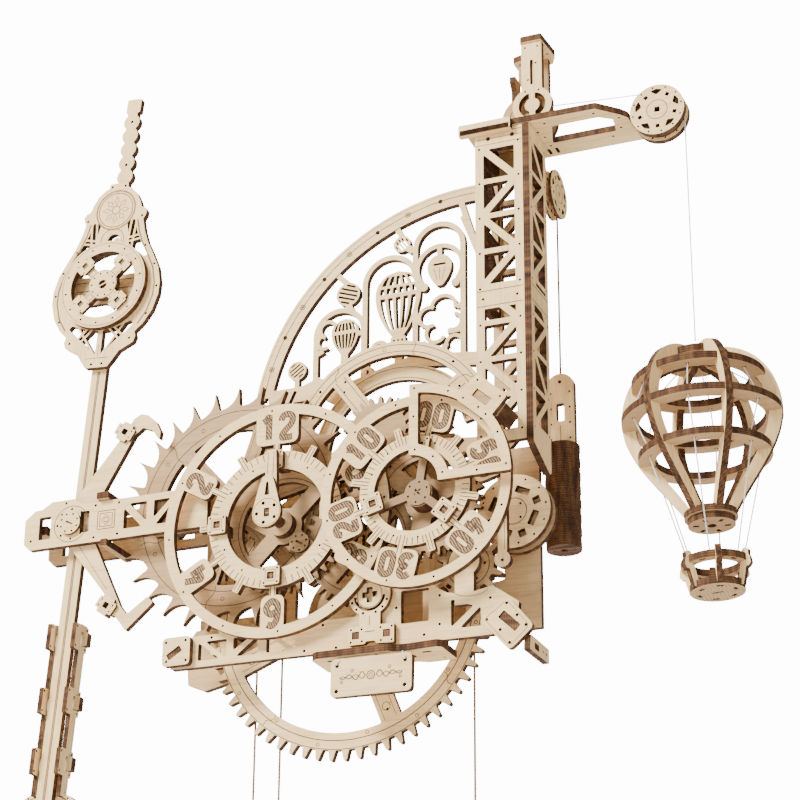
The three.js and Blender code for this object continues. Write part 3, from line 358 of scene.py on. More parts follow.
def rounded(points, radius, steps=4):
    """The outline with each corner turned into an arc; short sides get smaller arcs."""
    out = []
    for k, here in enumerate(points):
        before, after = Vector(points[k - 1]), Vector(points[(k + 1) % len(points)])
        corner = Vector(here)
        a, b = before - corner, after - corner
        angle = a.angle(b)
        reach = min(radius / max(math.tan(angle / 2), 0.05), a.length * 0.45, b.length * 0.45)
        start, end = corner + a.normalized() * reach, corner + b.normalized() * reach
        if angle > rad(165):
            out.append(tuple(corner))
            continue
        for j in range(steps + 1):
            t = j / steps
            out.append(tuple((1 - t) ** 2 * start + 2 * t * (1 - t) * corner + t * t * end))
    return out


def sector(centre, outer, inner, start, end):
    return arc(centre, outer, start, end) + arc(centre, inner, end, start)


def windows(centre, outer, inner, count, first, width, corner=2.0):
    """The openings between straight spokes of one width."""
    shapes = []
    for k in range(count):
        a, b = first + k * TAU / count, first + (k + 1) * TAU / count
        far, near = math.asin(width / 2 / outer), math.asin(min(0.95, width / 2 / inner))
        shape = arc(centre, outer, a + far, b - far) + arc(centre, inner, b - near, a + near)
        shapes.append(rounded(shape, corner, 3))
    return shapes


def gear(centre, teeth, module, phase):
    pitch = TAU / teeth
    tip, root = module * (teeth + 2) / 2, module * (teeth - 2.5) / 2
    points = []
    for k in range(teeth):
        a = phase + k * pitch
        for share, turn in ((0, -0.29), (0.45, -0.20), (0.88, -0.13), (1, -0.06)):
            points.append(polar(centre, root + share * (tip - root), a + turn * pitch))
        for share, turn in ((1, 0.06), (0.88, 0.13), (0.45, 0.20), (0, 0.29)):
            points.append(polar(centre, root + share * (tip - root), a + turn * pitch))
    return points


def lattice(start, end, stile, rungs, width):
    """The triangles left between rungs and one zig-zag of diagonals."""
    left, right = start + stile, end - stile
    holes = []
    for k, (a, b) in enumerate(zip(rungs, rungs[1:])):
        low_edge, high_edge = a + width / 2, b - width / 2
        near, far = (left, right) if k % 2 == 0 else (right, left)
        step = math.copysign(width * 0.9, far - near)
        holes.append(rounded([(near, low_edge + width * 0.9), (near, high_edge), (far - step, high_edge)],
                             0.4, 2))
        holes.append(rounded([(near + step, low_edge), (far, high_edge - width * 0.9), (far, low_edge)], 0.4,
                             2))
    return holes


def ring_of(centre, radius, first, count):
    return [polar(centre, radius, rad(first) + TAU * k / count) for k in range(count)]


# ---------------------------------------------------------------- sheets
def to_space(plane, u, v, depth):
    """A sheet's own coordinates to the frame: xz faces the front, xy lies level, yz faces sideways."""
    x, y, z = {"xz": (u, depth, v), "xy": (u, v, depth), "yz": (depth, u, v)}[plane]
    return Vector((x * MM, y * MM, z * MM))


NORMAL = {"xz": Vector((0, 1, 0)), "xy": Vector((0, 0, 1)), "yz": Vector((1, 0, 0))}
LAYERS_ALONG = {"xz": "y", "xy": "z", "yz": "x"}


def clockwise(points):
    return sum(a[0] * b[1] - b[0] * a[1] for a, b in zip(points, points[1:] + points[:1])) < 0


def prisms(name, outlines, plane, near, far):
    """Closed prisms over outlines that don't touch one another, as one mesh."""
    bm = bmesh.new()
    for points in outlines:
        if clockwise(points):
            points = points[::-1]
        loops = [[bm.verts.new(to_space(plane, u, v, depth)) for u, v in points] for depth in (near, far)]
        bm.faces.new(loops[0])
        bm.faces.new(loops[1][::-1])
        count = len(points)
        for k in range(count):
            j = (k + 1) % count
            bm.faces.new((loops[0][j], loops[0][k], loops[1][k], loops[1][j]))
    bmesh.ops.recalc_face_normals(bm, faces=bm.faces)
    mesh = bpy.data.meshes.new(name)
    bm.to_mesh(mesh)
    bm.free()
    made = bpy.data.objects.new(name, mesh)
    bpy.context.collection.objects.link(made)
    return made


def evaluated(made):
    return bpy.data.meshes.new_from_object(made.evaluated_get(bpy.context.evaluated_depsgraph_get()))


class Sheet:
    """One laser-cut sheet: outlines added and cut in turn, then lines engraved on the side that shows.

    The plane is xz for a piece that faces the front, xy for a level one and yz for one that faces sideways.
    """

    def __init__(self, name, body, plane="xz", *, near, thick=PLY, face="across", shows="near",
                 slot="birch_face"):
        self.name, self.body, self.plane, self.face, self.slot = name, body, plane, face, slot
        self.near, self.far = near, near + thick
        self.shows = shows  # which side the engraving is on
        self.steps, self.lines = [], []

    def add(self, *outlines, near=None, far=None):
        self.steps.append(("UNION", outlines, near, far))
        return self

    def cut(self, *outlines, near=None, far=None):
        self.steps.append(("DIFFERENCE", outlines, near, far))
        return self

    def pins(self, centres, size=0.85):
        """Small pin holes right through."""
        return self.cut(*[pin_hole(centre, 0.62 * size) for centre in centres])

    def line(self, points, width=0.28, closed=False, material=None):
        self.lines.append((points, width, closed, material or LINE))
        return self

    def circle(self, centre, radius, width=0.28, material=None):
        return self.line(disc(centre, radius), width, True, material)

    def build(self, lean=None):
        base, tools = None, []
        for operation, outlines, near, far in self.steps:
            if not outlines:
                continue
            over = 1.0 if operation == "DIFFERENCE" else 0.0
            lo = (self.near - over) if near is None else near
            hi = (self.far + over) if far is None else far
            tool = prisms(self.name + "_tool", outlines, self.plane, lo, hi)
            if base is None:
                base = tool
                continue
            modifier = base.modifiers.new("cut", "BOOLEAN")
            modifier.operation = operation
            modifier.solver = "MANIFOLD"
            modifier.object = tool
            tools.append(tool)
        mesh = evaluated(base)
        bm = bmesh.new()
        bm.from_mesh(mesh)
        bmesh.ops.dissolve_limit(bm, angle_limit=rad(0.5), verts=bm.verts, edges=bm.edges)
        bmesh.ops.triangulate(bm, faces=[f for f in bm.faces if len(f.verts) > 4])
        slots = [FACE[self.face], EDGE[LAYERS_ALONG[self.plane]], LINE, FAINT, HATCH]
        normal = NORMAL[self.plane]
        for polygon in bm.faces:
            polygon.material_index = 0 if abs(polygon.normal.dot(normal)) > 0.9 else 1
        outward = -1 if self.shows == "near" else 1
        surface = self.near if self.shows == "near" else self.far
        for points, width, closed, material in self.lines:
            proud = 0.02 if material == HATCH else 0.045
            ribbon(bm, points, width * (1 if material == HATCH else LINE_GAIN), closed, self.plane,
                   (surface, outward, proud), slots.index(material))
        mesh.materials.clear()
        for material in slots:
            mesh.materials.append(material)
        bm.to_mesh(mesh)
        bm.free()
        mesh.name = self.name
        made = bpy.data.objects.new(self.name, mesh)
        bpy.context.collection.objects.link(made)
        for old in [base, *tools]:
            bpy.data.objects.remove(old, do_unlink=True)
        if lean is not None:
            mesh.transform(lean)
        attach(made, self.body)
        return made


def pin_hole(centre, radius):
    return [polar(centre, radius, TAU * (k + 0.5) / 8) for k in range(8)]


def ribbon(bm, points, width, closed, plane, where, index):
    """An engraved line: a flat strip that rises a hair along its length, so it never meets itself."""
    surface, outward, proud = where
    count = len(points)
    sides = []
    for k, here in enumerate(points):
        before = points[k - 1] if k or closed else here
        after = points[(k + 1) % count] if k + 1 < count or closed else here
        along = Vector((after[0] - before[0], after[1] - before[1]))
        if along.length == 0:
            along = Vector((1, 0))
        along.normalize()
        offset = Vector((-along.y, along.x)) * width / 2
        depth = surface + outward * (proud + 0.02 * k / count)
        sides.append([bm.verts.new(to_space(plane, here[0] + s * offset.x, here[1] + s * offset.y, depth))
                      for s in (1, -1)])
    for k in range(count if closed else count - 1):
        a, b = sides[k], sides[(k + 1) % count]
        made = bm.faces.new((a[0], a[1], b[1], b[0]))
        made.material_index = index


def dress(name, axis, face):
    """A CAD node that stays: veneer on its flat faces and burnt edges elsewhere."""
    made = frame["nodes"][name]
    made.data.materials.clear()
    made.data.materials.append(FACE[face])
    made.data.materials.append(EDGE[axis])
    normal = Vector([1.0 if letter == axis else 0.0 for letter in "xyz"])
    for polygon in made.data.polygons:
        polygon.material_index = 0 if abs(polygon.normal.dot(normal)) > 0.9 else 1


# ---------------------------------------------------------------- cords and strings
BROWN = (BROWN_CORD, "cord_brown")  # the material and the slot of a cord
WHITE = (WHITE_THREAD, "cord_white")
CORD_RADIUS, THREAD_RADIUS, CORD_SIDES = 0.5, 0.3, 8


def tube(name, body, points, radius, kind, replaced):
    """A cord along points in millimetres."""
    material, slot = kind
    bm = bmesh.new()
    path = [Vector(point) * MM for point in points]
    rings = []
    for k, here in enumerate(path):
        along = (path[min(k + 1, len(path) - 1)] - path[max(k - 1, 0)]).normalized()
        across = along.cross(Vector((0, 1, 0)) if abs(along.y) < 0.9 else Vector((1, 0, 0))).normalized()
        other = along.cross(across)
        rings.append([bm.verts.new(here + radius * MM * (math.cos(turn) * across + math.sin(turn) * other))
                      for turn in (TAU * j / CORD_SIDES for j in range(CORD_SIDES))])
    for a, b in zip(rings, rings[1:]):
        for j in range(CORD_SIDES):
            bm.faces.new((a[j], a[(j + 1) % CORD_SIDES], b[(j + 1) % CORD_SIDES], b[j]))
    bm.faces.new(rings[0])
    bm.faces.new(rings[-1][::-1])
    bmesh.ops.recalc_face_normals(bm, faces=bm.faces)
    mesh = bpy.data.meshes.new(name)
    bm.to_mesh(mesh)
    bm.free()
    mesh.materials.append(material)
    for polygon in mesh.polygons:
        polygon.use_smooth = len(polygon.vertices) == 4
    made = bpy.data.objects.new(name, mesh)
    bpy.context.collection.objects.link(made)
    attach(made, body)
    if replaced:
        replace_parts(made, replaced)
    return made


def between(a, b, count=16):
    """Points along a straight line, in equal steps."""
    return [tuple(Vector(a).lerp(Vector(b), k / count)) for k in range(count + 1)]


CORD_Y = middle("winding_cord", 1)
PULL_X = middle("winding_cord", 0)
PULL_TOP, PULL_END = high("winding_cord", 2), low("winding_cord", 2)
pull = tube("pull_cord", "frame", between((PULL_X, CORD_Y, PULL_TOP), (PULL_X, CORD_Y, PULL_END), 20),
            CORD_RADIUS, BROWN, "winding_cord")
RING_MIDDLE = (PULL_X, middle("winding_ring", 2))
# The pull ring is in the darker birch copy: painted shade.
pull_ring = Sheet("pull_ring", "frame", near=low("winding_ring", 1), face="painted_shade")
pull_ring.add(disc(RING_MIDDLE, 8)).cut(disc(RING_MIDDLE, 5)).circle(RING_MIDDLE, 6.5, material=FAINT)
pull_ring = pull_ring.build()
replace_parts(pull_ring, "winding_ring")


def hanging_line(name, node_name, radius, kind):
    """A taut line down the middle of its CAD node, from its top to its bottom, with a mesh of its own."""
    x, y = middle(node_name, 0), middle(node_name, 1)
    top, bottom = high(node_name, 2), low(node_name, 2)
    made = tube(name, "frame", between((x, y, top), (x, y, bottom)), radius, kind, node_name)
    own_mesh(made)


hanging_line("hoist_line", "balloon_string", THREAD_RADIUS, WHITE)
hanging_line("fall_fixed", "drive_cord_fixed", CORD_RADIUS, BROWN)

FALL_X, FALL_END, FALL_BEND = low("drive_cord_running", 0) + 0.8, low("drive_cord_running", 2), -48.0
bend = [(DRIVE[0] - 20.9, -33.0), (-4.0, -37.4), (-10.4, -41.0), (FALL_X, FALL_BEND)]
tube("fall_lead", "frame", [(x, CORD_Y, z) for x, z in bend], CORD_RADIUS, BROWN, "drive_cord_running")
fall = tube("fall_running", "frame", between((FALL_X, CORD_Y, FALL_BEND), (FALL_X, CORD_Y, FALL_END)),
            CORD_RADIUS, BROWN, None)
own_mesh(fall)

winch_low, winch_high = [[v / MM for v in corner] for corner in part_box("winch_string")]
tube("jib_line", "frame",
     between((winch_low[0] + 0.3, winch_high[1] - 0.3, winch_high[2] - 0.3),
             (winch_high[0], winch_low[1] + 0.3, winch_low[2] + 0.3)), 0.25, WHITE, "winch_string")

COUNTER_X, COUNTER_Y = middle("counter_cord", 0), middle("counter_cord", 1)
COUNTER_TOP, COUNTER_END = high("counter_cord", 2), low("counter_cord", 2)
tube("counter_line", "frame",
     between((COUNTER_X, COUNTER_Y, COUNTER_TOP), (COUNTER_X, COUNTER_Y, COUNTER_END)),
     0.45, BROWN, "counter_cord")
tube("counter_line_tail", "counterweight",
     between((COUNTER_X, COUNTER_Y, COUNTER_END + joint_travel("counterweight_drop") + 6),
             (COUNTER_X, COUNTER_Y, COUNTER_END - 0.1)), 0.4, BROWN, None)

RIB_ANGLE = 4.5  # of the first rib, in degrees
CROWN_DISC, HIGH_HOOP, WIDE_HOOP, LOW_HOOP, RAIL_LOW = 50.6, 40.6, 24.9, 8.8, -37.0
CROWN = Matrix.Translation(Vector((BALLOON[0] * MM, BALLOON[1] * MM, 0.0572)))
SWAY = CROWN @ Matrix.Rotation(rad(-2.4), 4, "Y") @ CROWN.inverted()  # the balloon hangs a little askew


def rib_turn(k, degrees=0):
    """The angle of rib k, or of what stands some degrees past it."""
    return rad(RIB_ANGLE + degrees + 60 * k)


for k in range(1, 7):
    angle = rib_turn(k, -30)
    holes = [(11.4, RAIL_LOW + PLY), (23.3, LOW_HOOP - 0.2), (23.3, LOW_HOOP + PLY + 0.2),
             (28.6, WIDE_HOOP - 0.2), (28.6, WIDE_HOOP + PLY + 0.2), (23.4, HIGH_HOOP - 0.2),
             (23.0, HIGH_HOOP + PLY + 0.2), (9.4, CROWN_DISC - 0.1)]
    path = [(*polar(BALLOON, radius, angle), z) for radius, z in holes]
    made = tube(f"rigging_line_{k}", "balloon", path, 0.28, WHITE, f"rigging_{k}")
    made.data.transform(SWAY)


# ---------------------------------------------------------------- repeated small pieces
def axle(name, centre, radius, near, thick, plane="xz"):
    """A plain round axle in the frame, in the darker birch copy: painted shade."""
    Sheet(name, "frame", plane, near=near, thick=thick, face="painted_shade").add(disc(centre, radius)).build()


def soft(shapes, radius, steps=4):
    """The shapes with their corners rounded."""
    return [rounded(shape, radius, steps) for shape in shapes]


# ---------------------------------------------------------------- numerals
GLYPHS = {"0": [([(0, 0.4), (0, 1.6), (0.2, 1.92), (0.5, 2), (0.8, 1.92), (1, 1.6), (1, 0.4), (0.8, 0.08),
                  (0.5, 0), (0.2, 0.08)], True)],
          "1": [([(0.1, 1.55), (0.4, 1.75), (0.62, 2), (0.62, 1), (0.62, 0)], False)],
          "2": [([(0, 1.5), (0.12, 1.86), (0.5, 2), (0.88, 1.86), (1, 1.5), (0.85, 1.1), (0.45, 0.7),
                  (0.12, 0.3), (0.12, 0.02), (0.5, 0), (1, 0)], False)],
          "3": [([(0, 1.7), (0.3, 1.96), (0.75, 1.92), (0.93, 1.5), (0.72, 1.12), (0.42, 1.03), (0.78, 0.92),
                  (1, 0.5), (0.8, 0.08), (0.35, 0), (0, 0.25)], False)],
          "4": [([(0.78, 0), (0.78, 0.7), (0.78, 1.3)], False),
                ([(0.62, 2), (0.3, 1.35), (0, 0.72), (0.4, 0.62), (1.08, 0.62)], False)],
          "5": [([(0.95, 2), (0.5, 2), (0.08, 1.98), (0.06, 1.5), (0.1, 1.12), (0.55, 1.24), (0.95, 0.95),
                  (0.98, 0.45), (0.72, 0.06), (0.3, 0), (0, 0.22)], False)],
          "6": [([(0.9, 1.85), (0.5, 2), (0.14, 1.65), (0.02, 1), (0.05, 0.35), (0.5, 0), (0.95, 0.35),
                  (0.93, 0.8), (0.5, 1.08), (0.16, 0.85)], False)],
          "8": [([(0.5, 1.1), (0.1, 1.35), (0.12, 1.78), (0.5, 2), (0.88, 1.78), (0.9, 1.35)], True),
                ([(0.5, 1.02), (0.02, 0.75), (0.04, 0.25), (0.5, 0), (0.96, 0.25), (0.98, 0.75)], True)]}


def numeral(sheet, text, centre, angle, unit):
    """A plaque the shape of its digits, whose strokes are hatched and outlined."""
    turn = angle - math.pi / 2
    c, s = math.cos(turn), math.sin(turn)
    advance = unit + STROKE + 1.2
    start = -(len(text) - 1) * advance / 2

    def place(u, v):
        return centre[0] + u * c - v * s, centre[1] + u * s + v * c

    for k, digit in enumerate(text):
        left = start + k * advance - unit / 2
        wide = unit + STROKE + 2.7
        blob = rounded(rect(-wide / 2, -unit - 2.6, wide / 2, unit + 2.6), 3.4, 5)
        sheet.add([place(start + k * advance + u, v) for u, v in blob])
        for points, closed in GLYPHS[digit]:
            path = [(left + u * unit, (v - 1) * unit) for u, v in smooth(points, closed)]
            sheet.line([place(*p) for p in path], STROKE, closed, HATCH)
            for side in (-1, 1):
                sheet.line([place(*p) for p in beside(path, side * STROKE / 2, closed)], 0.3, closed)


def smooth(points, closed):
    """Catmull-Rom through the points."""
    out = []
    count = len(points)
    spans = count if closed else count - 1
    for k in range(spans):
        p = [points[(k + j) % count] if closed else points[min(max(k + j, 0), count - 1)]
             for j in (-1, 0, 1, 2)]
        for t in (0, 0.25, 0.5, 0.75):
            out.append(tuple(0.5 * (2 * p[1][i] + (p[2][i] - p[0][i]) * t
                                    + (2 * p[0][i] - 5 * p[1][i] + 4 * p[2][i] - p[3][i]) * t * t
                                    + (3 * p[1][i] - p[0][i] - 3 * p[2][i] + p[3][i]) * t ** 3)
                             for i in (0, 1)))
    if not closed:
        out.append(points[-1])
    return out


def beside(path, offset, closed):
    """The path moved sideways by the offset."""
    out = []
    for k, here in enumerate(path):
        a = path[k - 1] if k or closed else here
        b = path[(k + 1) % len(path)] if k + 1 < len(path) or closed else here
        along = Vector((b[0] - a[0], b[1] - a[1])).normalized()
        out.append((here[0] - along.y * offset, here[1] + along.x * offset))
    return out


# ---------------------------------------------------------------- dials
def cap_piece(name, body, centre, angle, near, thick):
    """A square cap with a square hole, four pins and the burnt end of the peg inside it."""
    cap = Sheet(name, body, near=near, thick=thick)
    cap.add(rounded(square(centre, 8, angle), 1.0)).cut(square(centre, 3.1, angle))
    cap.pins([polar(centre, 4.2, angle + rad(45) + k * TAU / 4) for k in range(4)], 0.8)
    cap.line(rounded(square(centre, 4.6, angle), 0.4), 0.2, True, FAINT)
    cap.build()
    inside = Sheet(name + "_peg", body, near=near + 0.7, thick=thick + 0.5, face="end", slot="birch_edge")
    inside.add(square(centre, 2.7, angle))
    inside.line(bar_line(polar(centre, 1.1, angle), polar(centre, 1.1, angle + math.pi)), 0.4, material=FAINT)
    inside.build()


def dial(name, body, centre, face, sizes, numerals, first, first_tab, first_dot, caps, cap_radius, node_name):
    """A dial of two rings, with the plaques, tabs, minute marks, dots and caps that sit on them."""
    outer, rim, tick_outer, tick_inner, at, unit = sizes
    sheet = Sheet(name, body, near=face)
    sheet.add(disc(centre, outer)).cut(disc(centre, rim))
    sheet.add(disc(centre, tick_outer)).cut(disc(centre, tick_inner), near=face - 1, far=face + PLY + 1)
    for k, text in enumerate(numerals):
        angle = rad(first) + k * TAU / len(numerals)
        sheet.add(bar(polar(centre, tick_outer - 1, angle), polar(centre, rim + 1.5, angle), 2.6))
        numeral(sheet, text, polar(centre, at, angle), angle, unit)
        for side in (-0.9, 0.9):
            sheet.line(spoke_line(centre, tick_outer - 4.2, tick_outer + 3.4, side, angle))
    for k in range(6):
        angle = rad(first_tab) + k * TAU / 6
        sheet.add(rounded(bar(polar(centre, tick_outer - 1, angle), polar(centre, tick_outer + 4.4, angle),
                              3.0), 0.5))
        for side in (-0.75, 0.75):
            sheet.line(spoke_line(centre, tick_outer - 3.4, tick_outer + 3.8, side, angle))
    for k in range(60):
        angle = rad(first) + k * TAU / 60
        if k % 5:
            sheet.line(bar_line(polar(centre, tick_outer - 3.4, angle),
                                polar(centre, tick_outer - 0.3, angle)), 0.3)
    middle_rim, middle_tick = (outer + rim) / 2, tick_inner + 3.0
    sheet.pins(ring_of(centre, middle_rim, first_dot, 12))
    sheet.pins(ring_of(centre, middle_tick, first_dot - 8, 12), 0.8)
    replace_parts(sheet.build(), node_name)
    for k, angle in enumerate(caps):
        cap_piece(f"{name}_cap_{k + 1}", body, polar(centre, cap_radius, rad(angle)), rad(angle), face - 2.6,
                  2.55)


# The hour ring turns under its pointer, so its figures read from the middle outwards.
dial("hour_ring", "hour", HOUR, HOUR_FACE, (51, 46.6, 30, 22, 41.0, 5.2), ["12", "2", "4", "6", "8", "10"],
     90, 60, 183.2, [0, 90, 180, 270], 25.4, "hour_dial")
dial("minute_ring", "minute", MINUTE, MINUTE_FACE, (41, 36.8, 23.8, 17.6, 32, 4.3),
     ["00", "10", "20", "30", "40", "50"], 76, 46, 132.4, [195, 320, 80], 17.8, "minute_dial")

# ---------------------------------------------------------------- pointer and minute window
blade = Sheet("pointer_blade", "frame", near=MINUTE_FACE + 0.2, thick=2.6)
blade.add([(-2.6, -2), (2.6, -2), (3.2, 12), (2.5, 28.5), (-1.6, 28.5), (-2.4, 12)])
blade.line([(-0.9, 27.5), (-1.1, 22), (-1.2, 17)], material=FAINT)
blade.line([(1.6, 27.5), (1.5, 22), (1.4, 17)], material=FAINT)
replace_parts(blade.build(), "hour_pointer")
plate = Sheet("pointer_plate", "frame", near=MINUTE_FACE - 2.2, thick=2.3)
teardrop = arc(HOUR, 6.4, rad(165), rad(375)) + [(3.4, 12.5), (2.2, 15.6), (0, 16.6), (-2.2, 15.6),
                                                 (-3.4, 12.5)]
plate.add(teardrop).cut(rounded([(-1.1, 7.6), (1.2, 7.6), (0.5, 13.4), (-0.4, 13.4)], 0.4))
plate.cut(rect(-1.1, -1.9, 1.3, 1.9)).pins(ring_of(HOUR, 4.4, 38, 5), 1.3)
plate.circle((0, 0), 6.0, 0.2, FAINT)
plate.build()
BOSS = (7.6, -8.6)
# The boss is in the darker birch copy: painted shade.
boss = Sheet("hour_boss", "frame", near=low("hour_bridge", 1) - 1.4, thick=1.3, face="painted_shade")
boss.add(disc(BOSS, 4.4)).cut(turned(BOSS, 3.4, 0.9, rad(-30))).pins(ring_of(BOSS, 3.3, 15, 7), 0.8)
boss.build()
stem = Sheet("pointer_peg", "frame", near=MINUTE_FACE - 1.6, thick=4, face="end", slot="birch_edge")
stem.add(rect(-0.95, -1.7, 1.1, 1.7)).line(bar_line((-0.8, 0), (0.95, 0)), 0.5, material=FAINT)
stem.build()
axle("pointer_shaft", HOUR, ARBOR, MINUTE_FACE + 2.5, low("hour_bridge", 1) - MINUTE_FACE + 0.3)

OUTER, BAND, INNER, THROAT = 43.3, 3.8, 12.4, 4.6
window = Sheet("minute_window", "frame", near=WINDOW_FACE)
quarter = arc(MINUTE, OUTER, 0, TAU / 4) + arc(MINUTE, INNER, TAU / 4, 0)
far_radius, near_radius = OUTER - BAND, INNER + THROAT
opening = (arc(MINUTE, far_radius, math.asin(BAND / far_radius), math.acos(BAND / far_radius))
           + arc(MINUTE, near_radius, math.acos(BAND / near_radius), math.asin(BAND / near_radius)))
TAB, TAB_TILT = (95.6, 34.6), rad(-42)
window.add(rounded(quarter, 1.6)).cut(rounded(opening, 1.0))
window.add(rounded(turned(TAB, 17.5, 13.4, TAB_TILT), 1.6))
window.cut(turned(TAB, 8.2, 3.6, TAB_TILT))
window.pins(turned(TAB, 12.8, 9.2, TAB_TILT))
window.pins([polar(MINUTE, OUTER - BAND / 2, rad(a)) for a in (4, 24, 44, 66, 87)]
            + [polar(MINUTE, INNER + THROAT / 2, rad(a)) for a in (12, 45, 80)]
            + [(MINUTE[0] + 1.9, MINUTE[1] + 29), (MINUTE[0] + 29, MINUTE[1] + 1.9)])
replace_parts(window.build(), "window_frame")
# The peg behind the window is in the darker birch copy: painted shade.
window_peg = Sheet("window_peg", "frame", near=WINDOW_FACE + 0.7, thick=FRONT - WINDOW_FACE - 1.1,
                   face="painted_shade", slot="birch_edge")
window_peg.add(turned(TAB, 7.8, 3.2, TAB_TILT))
window_peg.build()
# The strut behind the window is in the darker birch copy: painted shade.
strut = Sheet("window_strut", "frame", near=WINDOW_FACE + 3, thick=FRONT - WINDOW_FACE - 3.4, face="painted_shade")
strut.add(turned((101.2, 30.4), 4.6, 6.6, rad(-38)))
strut.build()

# ---------------------------------------------------------------- wheels
def roundel(sheet, at, radius=0.8):
    sheet.circle(at, radius, 0.22, LINE)


def peg(name, at, size, degrees, near):
    """The dark end of a tab that fills a slot."""
    Sheet(name, "frame", near=near, thick=1.8, face="end",
          slot="birch_edge").add(turned(at, *size, rad(degrees))).build()


def seam(sheet, a, b):
    """The wavy glue joint between two segments of a built-up ring."""
    along = Vector((b[0] - a[0], b[1] - a[1]))
    across = Vector((-along.y, along.x)).normalized()
    path = []
    for k in range(13):
        t = k / 12
        point = Vector(a) + along * t + across * 0.9 * math.sin(TAU * t)
        path.append(tuple(point))
    sheet.line(path, 0.22)


def escape_outline():
    profile = [(0, 55), (0.03, 53.6), (0.09, 51.6), (0.18, 49.8), (0.32, 48.2), (0.5, 47.1), (0.72, 46.5),
               (0.9, 46.4), (0.955, 47.2)]
    return [polar(ESCAPE, radius, TAU / 4 + (k + turn) * TAU / 30) for k in range(30) for turn,
            radius in profile]


ESCAPE_FACE, RING_FACE = FRONT + 10, FRONT + 17.2
# The escape disc is in the darker birch copy: painted shade.
escape = Sheet("escape_disc", "escape", near=ESCAPE_FACE, face="painted_shade")
escape.add(escape_outline()).cut(*windows(ESCAPE, 35, 11, 6, rad(12), 7, 2.5))
for radius in (37.6, 44.0):
    escape.circle(ESCAPE, radius, 0.26)
for k in range(6):
    angle = rad(12) + k * TAU / 6
    roundel(escape, polar(ESCAPE, 40.8, angle + rad(12)))
    roundel(escape, polar(ESCAPE, 40.8, angle - rad(18)))
    seam(escape, polar(ESCAPE, 35.2, angle + rad(5)), polar(ESCAPE, 46, angle + rad(3)))
    for side in (-1.9, 1.9):
        escape.line(spoke_line(ESCAPE, 12, 34.5, side, angle), 0.22, material=FAINT)
escape.pins([polar(ESCAPE, r, rad(12) + k * TAU / 6) for k in range(6) for r in (15, 31)], 0.8)
escape.build()
# The escape hub is in the darker birch copy: painted shade.
escape_hub = Sheet("escape_hub", "escape", near=FRONT + 6.6, thick=18, face="painted_shade")
escape_hub.add(disc(ESCAPE, ARBOR)).add(disc(ESCAPE, 6), near=FRONT + 12.5, far=FRONT + 18)
escape_hub.add(gear(ESCAPE, 9, COARSE, 0.1), near=RING_FACE, far=RING_FACE + PLY)
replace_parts(escape_hub.build(), "escape_wheel")

drive = Sheet("drive_ring", "drive", near=RING_FACE)
drive.add(gear(DRIVE, 64, COARSE, rad(-90.2))).cut(*windows(DRIVE, 52.2, 14, 4, rad(22), 9, 4))
drive.circle(DRIVE, 55.4, 0.3).circle(DRIVE, 59.0, 0.24)
for k in range(16):
    roundel(drive, polar(DRIVE, 57.4 if k % 2 else 53.8, rad(-80) + k * TAU / 16), 0.7)
for k in range(4):
    angle = rad(22) + k * TAU / 4
    seam(drive, polar(DRIVE, 52.4, angle + rad(31)), polar(DRIVE, 58.6, angle + rad(29)))
    for side in (-2.6, 2.6):
        drive.line(spoke_line(DRIVE, 15, 52, side, angle), 0.24, material=FAINT)
    drive.line(arc(polar(DRIVE, 46.5, angle), 1.8, 0, TAU * 0.96), 0.24)
drive.pins([polar(DRIVE, 44 + 4 * (k % 2), rad(22) + k * TAU / 4) for k in range(4)], 1.0)
drive.build()
# The drum is in the darker birch copy: painted shade.
drum = Sheet("drive_drum", "drive", near=RING_FACE + 1, thick=22.8, face="painted_shade")
drum.add(disc(DRIVE, ARBOR))
drum.add(disc(DRIVE, 20), near=CORD_Y - 2.2, far=CORD_Y + 2.2)
drum.add(disc(DRIVE, 22.3), near=CORD_Y - 4, far=CORD_Y - 2)
drum.add(disc(DRIVE, 22.3), near=CORD_Y + 2, far=CORD_Y + 4)
drum.add(disc(DRIVE, 6.5), near=RING_FACE + 2, far=CORD_Y - 3)
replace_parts(drum.build(), "drive_wheel")

UPPER_FACE = FRONT + 13.6
upper = Sheet("upper_disc", "upper", near=UPPER_FACE)
upper.add(disc(UPPER, 46.4)).cut(*windows(UPPER, 40, 10, 4, rad(126), 8, 3))
for radius in (41.6, 44.7):
    upper.circle(UPPER, radius, 0.26)
for k in range(8):
    spot = polar(UPPER, 43.2, rad(126) + rad(13) + k * TAU / 8)
    if k % 2:
        roundel(upper, spot)
    else:
        upper.pins([spot], 1.1)
for k in range(4):
    angle = rad(126) + k * TAU / 4
    seam(upper, polar(UPPER, 40.2, angle + rad(2)), polar(UPPER, 46.2, angle - rad(3)))
    seam(upper, polar(UPPER, 40.2, angle + rad(38)), polar(UPPER, 46.2, angle + rad(41)))
    for side in (-2.2, 2.2):
        upper.line(spoke_line(UPPER, 12, 40, side, angle), 0.24)
    upper.pins([polar(UPPER, 37.5, angle - rad(2)), polar(UPPER, 34, angle + rad(3))], 1.0)
upper.build()
# The upper hub is in the darker birch copy: painted shade.
upper_hub = Sheet("upper_hub", "upper", near=FRONT, thick=30, face="painted_shade")
upper_hub.add(disc(UPPER, ARBOR)).add(disc(UPPER, 6), near=FRONT + 1, far=RING_FACE + 1)
upper_hub.add(gear(UPPER, 21, FINE, 0), near=FRONT, far=FRONT + 2.6)
upper_hub.add(gear(UPPER, 11, COARSE, 0.2), near=RING_FACE, far=RING_FACE + PLY)
upper_hub.add(gear(UPPER, 35, FINE, 0), near=REAR + 3.4, far=REAR + 6.4)
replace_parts(upper_hub.build(), "upper_wheel")

